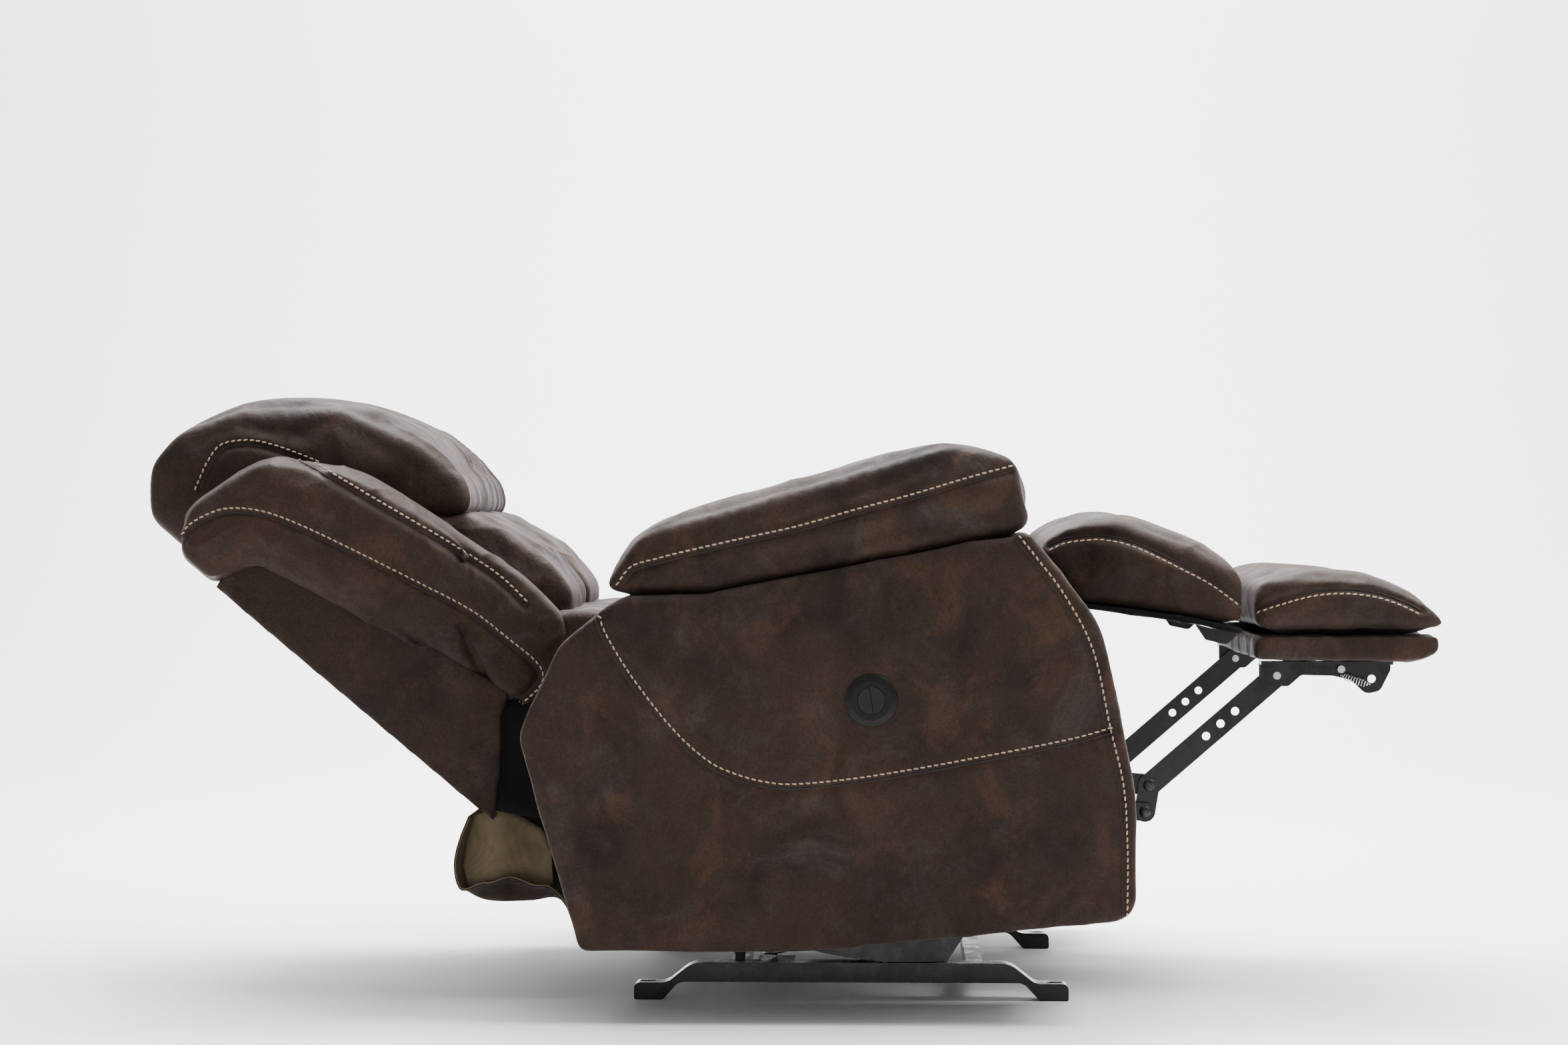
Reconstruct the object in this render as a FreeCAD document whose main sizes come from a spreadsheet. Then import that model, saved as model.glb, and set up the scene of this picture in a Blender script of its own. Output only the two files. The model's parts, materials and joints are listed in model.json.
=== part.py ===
import FreeCAD, Part
import math
import os

import Sketcher
from FreeCAD import Placement, Rotation, Vector

# Power rocker recliner armchair, leaning back on its rear stops with the footrest out.
# Frame: millimetres, +Z up, the sitter faces -Y, the sitter's right hand is at -X.
# The origin is the centre of the base's footprint, on the floor.

os.makedirs("parts", exist_ok=True)
doc = FreeCAD.newDocument("rocker_recliner")
sheet = doc.addObject("Spreadsheet::Sheet", "dims")

# Driving sizes. "y" sizes run front (-) to rear (+), "z" sizes are heights above the floor,
# and "half" sizes are measured from the chair's middle plane.
SIZES = [
    # widths
    ("seat_half", 300, "half width of the seat, chaise, footrest and backrest"),
    ("arm_gap", 5, "gap between the seat and each arm"),
    ("arm_width", 195, "width of each arm"),
    ("arm_panel_thick", 22, "outer side panel of an arm"),
    ("wing_width", 60, "width of a side bolster between the pillow and the seat edge"),
    ("wing_overhang", 40, "how far a side bolster stands out past the seat edge"),
    ("pillow_gap", 1, "gap between neighbouring soft pieces on the backrest"),
    # side profile of the chair
    ("front_y", -361, "front edge of the arms"),
    ("rear_y", 421, "rearmost point of the arms"),
    ("panel_low_z", 94, "lower edge of the arm panels"),
    ("arm_rear_z", 536, "top of the arm panel at its rear"),
    ("arm_front_z", 625, "top of the arm panel at its front"),
    ("pad_rise", 104, "height of the arm pad above the panel"),
    ("seat_front_y", -245, "front face of the seat cushion"),
    ("seat_top_z", 622, "top of the seat cushion at its front"),
    ("rail_bottom_z", 332, "underside of the seat frame"),
    ("rail_height", 44, "height of the seat frame rails"),
    ("rail_thick", 28, "thickness of the front and rear seat rails"),
    ("frame_front_y", -270, "front of the seat frame"),
    ("frame_rear_y", 320, "rear of the seat frame"),
    ("wire_radius", 1.9, "wire radius of the seat and back springs"),
    # backrest, in its own frame: along runs up the back, depth runs towards the sitter
    ("back_y", 501, "lower edge of the outer back"),
    ("back_z", 259, "height of that lower edge"),
    ("back_lean", 40.1, "angle of the outer back above the horizontal"),
    ("back_length", 458, "length of the outer back"),
    ("back_skin", 12, "thickness of the outer back panel"),
    ("side_skin", 10, "thickness of the outer back's sides"),
    ("stile_thick", 18, "thickness of the backrest frame's stiles"),
    ("frame_depth", 48, "depth of the backrest frame"),
    ("recline_y", 395, "recline pivot"),
    ("recline_z", 370, "recline pivot height"),
    ("flap_thick", 3, "thickness of the rear flap"),
    ("flap_inset", 12, "how far the rear flap stays inside the back's sides"),
    # mechanism lanes, all as distances from the middle plane
    ("link_thick", 4, "thickness of the links and side plates"),
    ("lane_gap", 2, "washer space between two lanes"),
    ("drive_lane", 244, "inner face of the drive links"),
    ("pin_radius", 8, "stub axles and recline pins"),
    ("rivet_radius", 5, "link pivots"),
    ("running_gap", 0.08, "radial clearance of a pin that turns in a hole"),
    ("fixed_gap", 0.05, "radial clearance of a pin that is fixed in its hole"),
    ("open_gap", 2.4, "radial clearance of the linkage's open pivot"),
    ("link_half", 14, "half the width of a link"),
    ("guide_half", 12, "half the width of a guide link"),
    ("link_hole_radius", 5.5, "adjusting holes in the links and brackets"),
    ("link_hole_step", 25.4, "spacing of the row of adjusting holes"),
    ("hanger_lane", 268, "inner face of the chaise hangers"),
    ("drive_y", -236, "torque tube axis"),
    ("drive_z", 299.7, "torque tube axis height"),
    ("elbow_y", -397.1, "elbow pivot, footrest out"),
    ("elbow_z", 285.6, "elbow pivot height"),
    ("bracket_y", -566, "ottoman bracket pivot, footrest out"),
    ("bracket_z", 432, "ottoman bracket pivot height"),
    ("guide_y", -238.4, "guide link pivot on the side plate"),
    ("guide_z", 255.3, "guide link pivot height"),
    ("tail_y", -391.3, "guide link pivot on the ottoman link"),
    ("tail_z", 250.5, "its height"),
    ("tube_radius", 14, "torque tube"),
    ("tube_wall", 2, "wall of the torque tube"),
    # footrest and chaise
    ("foot_rear_y", -532, "rear edge of the footrest"),
    ("foot_front_y", -784, "front edge of the footrest"),
    ("foot_low_z", 452, "underside of the footrest board"),
    ("foot_board_thick", 34, "covered board under the footrest pad"),
    ("foot_pad_thick", 86, "footrest pad"),
    ("bracket_front_y", -716, "front end of an ottoman bracket"),
    ("bracket_ledge", 28, "width of the ledge that the footrest board is screwed to"),
    ("bolt_y", -650, "spring bolt of an ottoman bracket"),
    ("bolt_z", 441, "height of that bolt"),
    ("soft_gap", 0.3, "clearance around a soft piece"),
    ("hinge_y", -248.4, "chaise hinge rod"),
    ("hinge_z", 598.8, "chaise hinge rod height"),
    ("hinge_rod_radius", 3, "chaise hinge rod"),
    # rocker base
    ("base_half", 289, "half the length of the base"),
    ("base_top_z", 50, "top of the base rails"),
    ("base_rail_height", 26, "height of a base rail"),
    ("base_rail_width", 32, "width of a base rail"),
    ("base_inner", 244, "inner face of a base rail"),
    ("foot_slot_half", 6, "half the width of the slot in a foot"),
    ("cam_radius", 508, "radius of the rocker cams"),
    ("cam_y", -74, "where the cams stand on the rails"),
    ("cam_width", 20, "width of a rocker cam"),
    ("cam_top_z", 150, "top of the rocker cams"),
    ("stand_gap", 0.3, "clearance between cam and rail, and between stop and rail"),
    ("spring_y", 100, "rocker springs"),
    ("spring_radius", 16, "coil radius of a rocker spring"),
    ("spring_wire", 2.2, "wire radius of a rocker spring"),
    ("spring_turns", 6, "turns of a rocker spring"),
    # power unit and switch
    ("actuator_drop", 51.4, "pin line of the actuator below the torque tube"),
    ("lever_swing", 47.4, "half the swing of the lever, in degrees"),
    ("lever_rate", 1.22, "rod travel per radian of lever, as a share of the drop"),
    ("lever_gap", 4.6, "clearance of the rod's pin across the lever's slot"),
    ("rod_radius", 9, "actuator rod"),
    ("rod_gap", 0.3, "clearance round the actuator rod"),
    ("case_front_y", 10, "front end of the actuator housing"),
    ("case_rear_y", 240, "rear end of the actuator housing"),
    ("case_half", 19, "half the width of the actuator housing"),
    ("motor_radius", 27, "drive motor"),
    ("motor_height", 78, "height of the drive motor"),
    ("fork_length", 46, "from the fork's pin to its back"),
    ("fork_half", 15, "half the width of the fork"),
    ("fork_slot_half", 5, "half the gap in the fork"),
    ("switch_y", -28, "centre of the switch"),
    ("switch_z", 412, "height of the switch"),
    ("bezel_radius", 33, "outside of the switch bezel"),
    ("button_radius", 17.2, "radius of the two half-round buttons"),
    ("button_travel", 2, "travel of a button"),
]
for row, (name, value, note) in enumerate(SIZES, start=1):
    sheet.set("A%d" % row, name)
    sheet.set("B%d" % row, str(value))
    sheet.set("C%d" % row, note)
    sheet.setAlias("B%d" % row, name)
doc.recompute()


class Sizes:
    """Reads the sheet's cells by alias, as numbers."""

    def __getattr__(self, name):
        return float(sheet.get(name))


D = Sizes()
SIDES = (("right", -1), ("left", 1))
NODES = []


# ---------------------------------------------------------------- outlines

def corner(before, point, after):
    """Tangent points and middle of the arc that rounds one corner, or None for a sharp one."""
    here = Vector(point[0], point[1], 0)
    back = Vector(before[0], before[1], 0).sub(here)
    ahead = Vector(after[0], after[1], 0).sub(here)
    radius = point[2]
    opening = back.getAngle(ahead)
    if radius <= 0 or opening > math.pi - 1e-4:
        return None
    room = 0.499 * min(back.Length, ahead.Length)
    reach = min(radius / math.tan(opening / 2), room)
    radius = reach * math.tan(opening / 2)
    back.normalize()
    ahead.normalize()
    middle = back.add(ahead)
    middle.normalize()
    depth = radius / math.sin(opening / 2) - radius
    return here.add(back * reach), here.add(middle * depth), here.add(ahead * reach)


def outline(points):
    """Lines and tangent arcs of a closed outline.

    A point is (a, b), (a, b, corner radius), or (a, b, "through") where an arc runs from the
    point before to the point after by way of this one.
    """
    count = len(points)
    stops = []
    for index, point in enumerate(points):
        rounded = len(point) > 2 and point[2] != "through"
        ends = (points[index - 1], points[(index + 1) % count])
        stops.append(corner(ends[0], point, ends[1]) if rounded else None)
    edges = []
    for index, point in enumerate(points):
        following = (index + 1) % count
        if point[-1] == "through":
            before = points[index - 1]
            after = points[following]
            bend = [Vector(p[0], p[1], 0) for p in (before, point, after)]
            edges.append(Part.Arc(bend[0], bend[1], bend[2]))
            continue
        if points[following][-1] == "through":
            continue
        here = stops[index]
        there = stops[following]
        start = here[2] if here else Vector(point[0], point[1], 0)
        end = there[0] if there else Vector(points[following][0], points[following][1], 0)
        if here:
            edges.append(Part.Arc(here[0], here[1], here[2]))
        if start.distanceToPoint(end) > 1e-6:
            edges.append(Part.LineSegment(start, end))
    return edges


def bar(start, end, half):
    """Outline of a link with round ends about two pivots."""
    a = Vector(start[0], start[1], 0)
    b = Vector(end[0], end[1], 0)
    along = b.sub(a)
    along.normalize()
    across = Vector(-along.y, along.x, 0)
    low = a - along * half
    high = b + along * half
    corners = (low - across * half, high - across * half, high + across * half, low + across * half)
    return [(p.x, p.y, half) for p in corners]


def along_line(start, end, distance):
    """The point that lies a distance from start towards end."""
    span = math.hypot(end[0] - start[0], end[1] - start[1])
    share = distance / span
    return (start[0] + (end[0] - start[0]) * share, start[1] + (end[1] - start[1]) * share)


# ---------------------------------------------------------------- makers

def plane(body, role):
    """One of a body's own origin planes."""
    return [item for item in body.Origin.OriginFeatures if item.Role == role][0]


def new_sketch(body, role, name, points, holes=()):
    """A sketch on an origin plane, with round holes whose radii follow the sheet."""
    sketch = body.newObject("Sketcher::SketchObject", name)
    sketch.AttachmentSupport = (plane(body, role), [""])
    sketch.MapMode = "FlatFace"
    if points:
        sketch.addGeometry(outline(points), False)
    for number, (a, b, radius) in enumerate(holes):
        circle = sketch.addGeometry(Part.Circle(Vector(a, b, 0), Vector(0, 0, 1), 1), False)
        rule = sketch.addConstraint(Sketcher.Constraint("Radius", circle, 1))
        sketch.renameConstraint(rule, "hole%d" % number)
        sketch.setExpression("Constraints.hole%d" % number, radius)
    return sketch


def keep(item, label):
    """Register a finished piece under its node name."""
    item.Label = label
    NODES.append(item)
    return item


def profile_body(label, points, inner, outer, side=0, holes=(), place=None, register=True):
    """A piece with one side profile, between two distances from the middle plane.

    Side -1 is the sitter's right and +1 the left; side 0 spans both, out to the outer distance.
    Place, where given, is the frame that the profile is drawn in.
    """
    body = doc.addObject("PartDesign::Body", label)
    sketch = new_sketch(body, "YZ_Plane", label + "_outline", points, holes)
    pad = body.newObject("PartDesign::Pad", label + "_pad")
    pad.Profile = sketch
    if place:
        body.Placement = place
    if side == 0:
        pad.setExpression("Length", "2 * (%s)" % outer)
        body.setExpression("Placement.Base.x", "-(%s)" % outer)
    else:
        pad.setExpression("Length", "(%s) - (%s)" % (outer, inner))
        start = inner if side > 0 else "-(%s)" % outer
        body.setExpression("Placement.Base.x", start)
    sketch.Visibility = False
    if register:
        keep(body, label)
    return body


def add_pad(body, name, points, length, offset):
    """A second pad on the same body, starting at an offset from the first one's sketch plane."""
    sketch = new_sketch(body, "YZ_Plane", name + "_outline", points)
    sketch.setExpression("AttachmentOffset.Base.z", offset)
    pad = body.newObject("PartDesign::Pad", name + "_pad")
    pad.Profile = sketch
    pad.setExpression("Length", length)
    return pad


def cut_through(body, role, name, points, reach):
    """Cut an outline out of a body, the same distance to both sides of an origin plane."""
    doc.recompute()
    before = body.Shape.Volume
    sketch = new_sketch(body, role, name + "_outline", points)
    pocket = body.newObject("PartDesign::Pocket", name)
    pocket.Profile = sketch
    pocket.Length = reach
    pocket.SideType = "Symmetric"
    doc.recompute()
    if body.Shape.Volume > before - 1e-3:
        raise RuntimeError("the cut %s removed nothing" % name)
    return pocket


def cylinder_x(name, radius, start, end, y, z):
    """A round bar along X between two expressions."""
    item = doc.addObject("Part::Cylinder", name)
    item.Placement = Placement(Vector(0, y, z), Rotation(Vector(0, 1, 0), 90))
    item.setExpression("Radius", radius)
    item.setExpression("Height", "(%s) - (%s)" % (end, start))
    item.setExpression("Placement.Base.x", start)
    return item


def cylinder_z(name, radius, height, x, y, z):
    """A round bar along Z from a point."""
    item = doc.addObject("Part::Cylinder", name)
    item.Placement = Placement(Vector(x, y, z), Rotation())
    item.Radius = radius
    item.Height = height
    return item


def cylinder_y(name, radius, length, x, y, z):
    """A round bar along +Y from a point."""
    item = doc.addObject("Part::Cylinder", name)
    item.Placement = Placement(Vector(x, y, z), Rotation(Vector(1, 0, 0), -90))
    item.setExpression("Radius", radius)
    item.Height = length
    return item


def block(name, low, high):
    """A box between two corners."""
    item = doc.addObject("Part::Box", name)
    item.Length = high[0] - low[0]
    item.Width = high[1] - low[1]
    item.Height = high[2] - low[2]
    item.Placement.Base = Vector(*low)
    return item


def group(label, items):
    """Several separate solids in one node."""
    item = doc.addObject("Part::Compound", label)
    item.Links = items
    return keep(item, label)


def fused(label, items):
    """Several touching solids joined into one."""
    item = doc.addObject("Part::MultiFuse", label)
    item.Shapes = items
    return keep(item, label)


def cut(label, base, tool, register=True):
    """One solid less another."""
    item = doc.addObject("Part::Cut", label)
    item.Base = base
    item.Tool = tool
    if register:
        keep(item, label)
    return item


def coil(name, radius, wire, length, turns, place):
    """A closed coil spring along the place's Z axis, as one solid."""
    helix = Part.makeHelix(length / turns, length, radius)
    section = Part.Wire(Part.Circle(Vector(radius, 0, 0), Vector(0, 1, 0), wire).toShape())
    item = doc.addObject("Part::Feature", name)
    item.Shape = Part.Wire(helix).makePipeShell([section], True, True)
    item.Placement = place
    return item


def lane(number, face="inner"):
    """Distance of a mechanism lane's face from the middle plane, as an expression."""
    steps = number + (0.5 if face == "outer" else 0)
    thick = math.ceil(steps)
    return "dims.drive_lane + %d * dims.link_thick + %d * dims.lane_gap" % (thick, number)


DRIVE_LANE, LINK_LANE, GUIDE_LANE, PLATE_LANE = range(4)
ARM_INNER = "dims.seat_half + dims.arm_gap"
ARM_OUTER = ARM_INNER + " + dims.arm_width"
PANEL_INNER = ARM_OUTER + " - dims.arm_panel_thick"

drive_pivot = (D.drive_y, D.drive_z)
elbow_pivot = (D.elbow_y, D.elbow_z)
bracket_pivot = (D.bracket_y, D.bracket_z)
guide_pivot = (D.guide_y, D.guide_z)
tail_pivot = (D.tail_y, D.tail_z)
recline_pivot = (D.recline_y, D.recline_z)
plate_inner = D.drive_lane + 3 * (D.link_thick + D.lane_gap)
plate_outer = plate_inner + D.link_thick


# ---------------------------------------------------------------- rocker base

def rocker_base():
    """Two side rails with eyelet feet, cross tubes between them and seats for the springs."""
    top = D.base_top_z
    low = top - D.base_rail_height
    end = D.base_half
    eye_z = 23
    side_profile = [
        (-end, 0, 3), (-end + 38, 0, 4), (-end + 60, low, 18), (end - 60, low, 18), (end - 38, 0, 4),
        (end, 0, 3), (end, eye_z, 8), (end - 44, eye_z, 24), (end - 78, top, 38),
        (-end + 78, top, 38), (-end + 44, eye_z, 24), (-end, eye_z, 8),
    ]
    middle = D.base_rail_width / 2
    for name, side in SIDES:
        rail = profile_body("base_rail_" + name, side_profile, "dims.base_inner",
                            "dims.base_inner + dims.base_rail_width", side)
        for tag, y in (("front", -end + 18), ("rear", end - 18)):
            half = D.foot_slot_half
            slot = [(middle - half, y - 11, half), (middle + half, y - 11, half),
                    (middle + half, y + 11, half), (middle - half, y + 11, half)]
            cut_through(rail, "XY_Plane", "foot_slot_%s_%s" % (tag, name), slot, 4 * top)

    tubes = []
    for tag, y in (("front", -165), ("rear", 150)):
        outer = block("cross_%s_outer" % tag, (-D.base_inner, y - 11, low + 1),
                      (D.base_inner, y + 11, low + 23))
        inner = block("cross_%s_inner" % tag, (-D.base_inner - 1, y - 9, low + 3),
                      (D.base_inner + 1, y + 9, low + 21))
        tubes.append(cut("cross_%s" % tag, outer, inner, register=False))
    group("base_cross_tubes", tubes)

    seats = []
    for name, side in SIDES:
        near = side * (D.base_inner - 44)
        far = side * D.base_inner
        seats.append(block("spring_seat_" + name, (min(near, far), D.spring_y - 24, top - 6),
                           (max(near, far), D.spring_y + 24, top)))
    group("base_spring_seats", seats)


# ---------------------------------------------------------------- rocking chassis

def rocker_cams():
    """Blocks with a round lower edge that stand on the base rails."""
    centre_z = D.base_top_z + D.stand_gap + D.cam_radius
    rear_end = math.radians(15.2)
    front_end = math.radians(-6.2)
    middle = (rear_end + front_end) / 2

    def rim(angle):
        return (D.cam_y + D.cam_radius * math.sin(angle), centre_z - D.cam_radius * math.cos(angle))

    start = rim(rear_end)
    nose = rim(front_end)
    shape = [start, rim(middle) + ("through",), nose, (nose[0] - 20, nose[1] + 30),
             (nose[0] - 20, D.cam_top_z, 6), (start[0] + 6, D.cam_top_z, 6), (start[0] + 6, start[1] + 12)]
    for name, side in SIDES:
        profile_body("rocker_cam_" + name, shape, "dims.base_inner + 6",
                     "dims.base_inner + 6 + dims.cam_width", side)


def side_plates():
    """Stamped plates that carry every pivot, joined by cross tubes."""
    low = 150
    plate = [
        (-262, 232, 14), (-262, 322, 14), (-200, 332), (330, 332), (360, D.recline_z + 20, 18),
        (D.recline_y + 18, D.recline_z + 22, 18), (D.recline_y + 18, 330, 30), (300, low, 20), (-180, low, 20),
    ]
    holes = [(D.drive_y, D.drive_z, "dims.pin_radius + dims.running_gap"),
             (D.guide_y, D.guide_z, "dims.rivet_radius + dims.fixed_gap"),
             (D.recline_y, D.recline_z, "dims.pin_radius + dims.fixed_gap"),
             (-60, 250, "11"), (40, 250, "11"), (180, 220, "14")]
    for name, side in SIDES:
        profile_body("side_plate_" + name, plate, lane(PLATE_LANE), lane(PLATE_LANE, "outer"), side, holes)

    tubes = []
    pin_z = D.drive_z - D.actuator_drop
    for tag, y, z in (("rear", 252, pin_z), ("middle", 120, 310)):
        outer = block("tube_%s_outer" % tag, (-plate_inner, y - 12, z - 12), (plate_inner, y + 12, z + 12))
        inner = block("tube_%s_inner" % tag, (-plate_inner - 1, y - 10, z - 10),
                      (plate_inner + 1, y + 10, z + 10))
        tubes.append(cut("chassis_tube_" + tag, outer, inner, register=False))
    group("chassis_cross_tubes", tubes)

    pins = []
    frame_in = D.seat_half - D.side_skin - D.stile_thick
    near = min(plate_inner - 4, frame_in - 2 * D.link_thick)
    far = max(plate_outer + 10, frame_in + D.link_thick)
    for name, side in SIDES:
        start = near if side > 0 else -far
        end = far if side > 0 else -near
        pins.append(cylinder_x("recline_pin_" + name, "dims.pin_radius", str(start), str(end),
                               D.recline_y, D.recline_z))
        start = plate_inner - 6 if side > 0 else -plate_outer
        end = plate_outer if side > 0 else -(plate_inner - 6)
        pins.append(cylinder_x("guide_pin_" + name, "dims.rivet_radius", str(start), str(end),
                               D.guide_y, D.guide_z))
    group("fixed_pins", pins)


def chassis_feet():
    """Tapered stops over the rails, the brackets above the springs, and the springs."""
    stops = []
    low = D.base_top_z + D.stand_gap
    height = 44
    for name, side in SIDES:
        x = side * (D.base_inner + 0.5 * D.base_rail_width)
        stop = doc.addObject("Part::Cone", "stop_" + name)
        stop.Radius1 = 6.5
        stop.Radius2 = 10
        stop.Height = height
        stop.Placement.Base = Vector(x, 148, low)
        foot = block("stop_foot_" + name, (x - 14, 130, low + height), (x + 14, 166, low + height + 3))
        web_x = plate_outer if side > 0 else -plate_outer - 4
        web = block("stop_web_" + name, (web_x, 130, low + height + 3), (web_x + 4, 166, 200))
        joined = doc.addObject("Part::MultiFuse", "rear_stop_" + name)
        joined.Shapes = [stop, foot, web]
        stops.append(joined)
    group("rear_stops", stops)

    length = 78
    low = D.base_top_z + D.stand_gap + D.spring_wire
    brackets = []
    springs = []
    for name, side in SIDES:
        x = side * (D.base_inner - 22)
        place = Placement(Vector(x, D.spring_y, low), Rotation())
        springs.append(coil("spring_" + name, D.spring_radius, D.spring_wire, length, D.spring_turns, place))
        high = low + length + D.spring_wire + D.stand_gap
        near = side * (D.base_inner - 44)
        far = side * plate_inner
        shelf = block("spring_shelf_" + name, (min(near, far), D.spring_y - 24, high),
                      (max(near, far), D.spring_y + 24, high + 4))
        edge = side * (plate_inner - 4)
        web = block("spring_web_" + name, (min(edge, far), D.spring_y - 24, high + 4),
                    (max(edge, far), D.spring_y + 24, 230))
        joined = doc.addObject("Part::MultiFuse", "spring_bracket_" + name)
        joined.Shapes = [shelf, web]
        brackets.append(joined)
    group("rocker_springs", springs)
    group("chassis_spring_brackets", brackets)


# ---------------------------------------------------------------- seat and arms

def seat():
    """Wooden rails, sinuous springs across them and the cushion on top."""
    low = D.rail_bottom_z
    high = low + D.rail_height
    half = D.seat_half
    front = D.frame_front_y
    rear = D.frame_rear_y
    rails = []
    for name, side in SIDES:
        near = side * plate_outer
        far = side * half
        rails.append(block("seat_rail_" + name, (min(near, far), front, low), (max(near, far), rear, high)))
        for tag, y in (("front", -190), ("rear", 210)):
            inner_face = side * half
            outer_face = side * (half + D.arm_gap)
            rails.append(block("arm_spacer_%s_%s" % (tag, name), (min(inner_face, outer_face), y, low + 6),
                               (max(inner_face, outer_face), y + 50, high - 6)))
    for tag, y in (("front", front), ("rear", rear - D.rail_thick)):
        rails.append(block("seat_rail_" + tag, (-plate_outer, y, low), (plate_outer, y + D.rail_thick, high)))
    group("seat_frame", rails)

    wire = D.wire_radius
    springs = []
    for number in range(5):
        x = (number - 2) * 96
        springs.append(sinuous("seat_spring_%d" % number, wire, front + 10, rear - 10, 22, 11,
                               Placement(Vector(x, 0, high + D.soft_gap + wire), Rotation())))
    group("seat_springs", springs)

    cushion_low = high + 2 * (D.soft_gap + wire)
    cushion = [
        (D.seat_front_y, cushion_low, 8), (230, cushion_low, 8), (250, 480, 30), (262, 548, 26),
        (-100, D.seat_top_z + 2, 160), (D.seat_front_y, D.seat_top_z, 22),
    ]
    profile_body("seat_cushion", cushion, "0", "dims.seat_half", 0)
    board = [(front - 12, low), (front - D.soft_gap, low), (front - D.soft_gap, 462), (front - 12, 462)]
    profile_body("seat_front_panel", board, "0", "dims.drive_lane - 8", 0)


def sinuous(name, wire, start, end, swing, pitch, place):
    """A zigzag seat spring: half circles joined by straight legs, along Y."""
    edges = []
    y = start
    side = 1
    edges.append(Part.LineSegment(Vector(0, y, 0), Vector(swing, y, 0)).toShape())
    radius = pitch
    while y + 2 * radius < end:
        top = Vector(side * swing, y, 0)
        bottom = Vector(side * swing, y + 2 * radius, 0)
        bulge = Vector(side * (swing + radius), y + radius, 0)
        edges.append(Part.Arc(top, bulge, bottom).toShape())
        y += 2 * radius
        last = y + 2 * radius >= end
        far = Vector(0 if last else -side * swing, y, 0)
        edges.append(Part.LineSegment(bottom, far).toShape())
        side = -side
    path = Part.Wire(edges)
    section = Part.Wire(Part.Circle(Vector(0, start, 0), Vector(1, 0, 0), wire).toShape())
    item = doc.addObject("Part::Feature", name)
    item.Shape = path.makePipeShell([section], True, False)
    item.Placement = place
    return item


def arm_top_edge():
    """The edge that an arm panel and its pad share, from rear to front."""
    rear = (D.rear_y - 119, D.arm_rear_z)
    return [rear, (rear[0] - 122, D.arm_rear_z + 1), (D.front_y + 233, D.arm_front_z - 27),
            (D.front_y + 134, D.arm_front_z)]


def arms():
    """Each arm is a wooden frame with an outer panel and a thick pad."""
    front = D.front_y
    rear = D.rear_y
    low = D.panel_low_z
    lower_edge = [
        (front + 43, D.arm_front_z - 117, 120), (front, D.arm_front_z - 325, 200), (front, low + 42, 30),
        (front + 415, low - 1, 900), (rear - 79, low, 8), (rear, low + 272, 20), (rear - 53, low + 388, 50),
    ]
    panel = arm_top_edge() + lower_edge
    pad_front = D.arm_front_z + D.pad_rise
    pad = list(reversed(arm_top_edge())) + [
        (rear - 113, D.arm_rear_z + 12, 12), (rear - 155, D.arm_rear_z + 80, 60),
        (front + 236, pad_front + 7, 60), (front + 148, pad_front - 12, 36), (front + 144, pad_front - 60, 30),
    ]
    bars = {
        "top": [(rear - 130, 480), (front + 160, 560), (front + 160, 590), (rear - 125, 510)],
        "bottom": [(front + 60, 160), (rear - 100, 140), (rear - 95, 180), (front + 60, 200)],
        "front": [(front + 60, 200.5), (front + 105, 200.5), (front + 150, 540), (front + 105, 550)],
        "rear": [(rear - 130, 185), (rear - 90, 185), (rear - 90, 440), (rear - 130, 470)],
    }
    for name, side in SIDES:
        holes = []
        if side < 0:
            holes = [(D.switch_y, D.switch_z, "dims.button_radius + 7.3")]
        profile_body("arm_panel_" + name, panel, PANEL_INNER, ARM_OUTER, side, holes)
        profile_body("arm_pad_" + name, pad, ARM_INNER, ARM_OUTER, side)
        inner = profile_body("arm_board_" + name, panel, ARM_INNER, ARM_INNER + " + 14", side, register=False)
        rails = [inner]
        for tag, shape in bars.items():
            rails.append(profile_body("arm_%s_rail_%s" % (tag, name), shape, ARM_INNER + " + 14",
                                      PANEL_INNER, side, register=False))
        front_board = profile_body("arm_front_" + name, arm_front_board(panel), ARM_INNER + " + 14",
                                   PANEL_INNER, side, register=False)
        rails.append(front_board)
        group("arm_frame_" + name, rails)


def arm_front_board(panel):
    """A strip that closes the front of an arm between its two boards."""
    front = D.front_y
    thick = 16
    top = D.arm_front_z
    return [
        (front + 134, top), (front + 43, top - 117, 120), (front, top - 325, 200), (front, D.panel_low_z + 60),
        (front + thick, D.panel_low_z + 60), (front + thick, top - 329, 184),
        (front + 43 + thick, top - 124, 104), (front + 134 + thick, top - 5),
    ]


# ---------------------------------------------------------------- backrest

def back_place(depth=0.0):
    """The backrest's own frame, optionally raised towards the sitter."""
    frame = Placement(Vector(0, D.back_y, D.back_z), Rotation(Vector(1, 0, 0), D.back_lean))
    return frame.multiply(Placement(Vector(0, 0, depth), Rotation()))


def in_back(y, z):
    """A point of the chair in the backrest's frame, as (along, depth)."""
    point = back_place().inverse().multVec(Vector(0, y, z))
    return (point.y, point.z)


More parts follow.
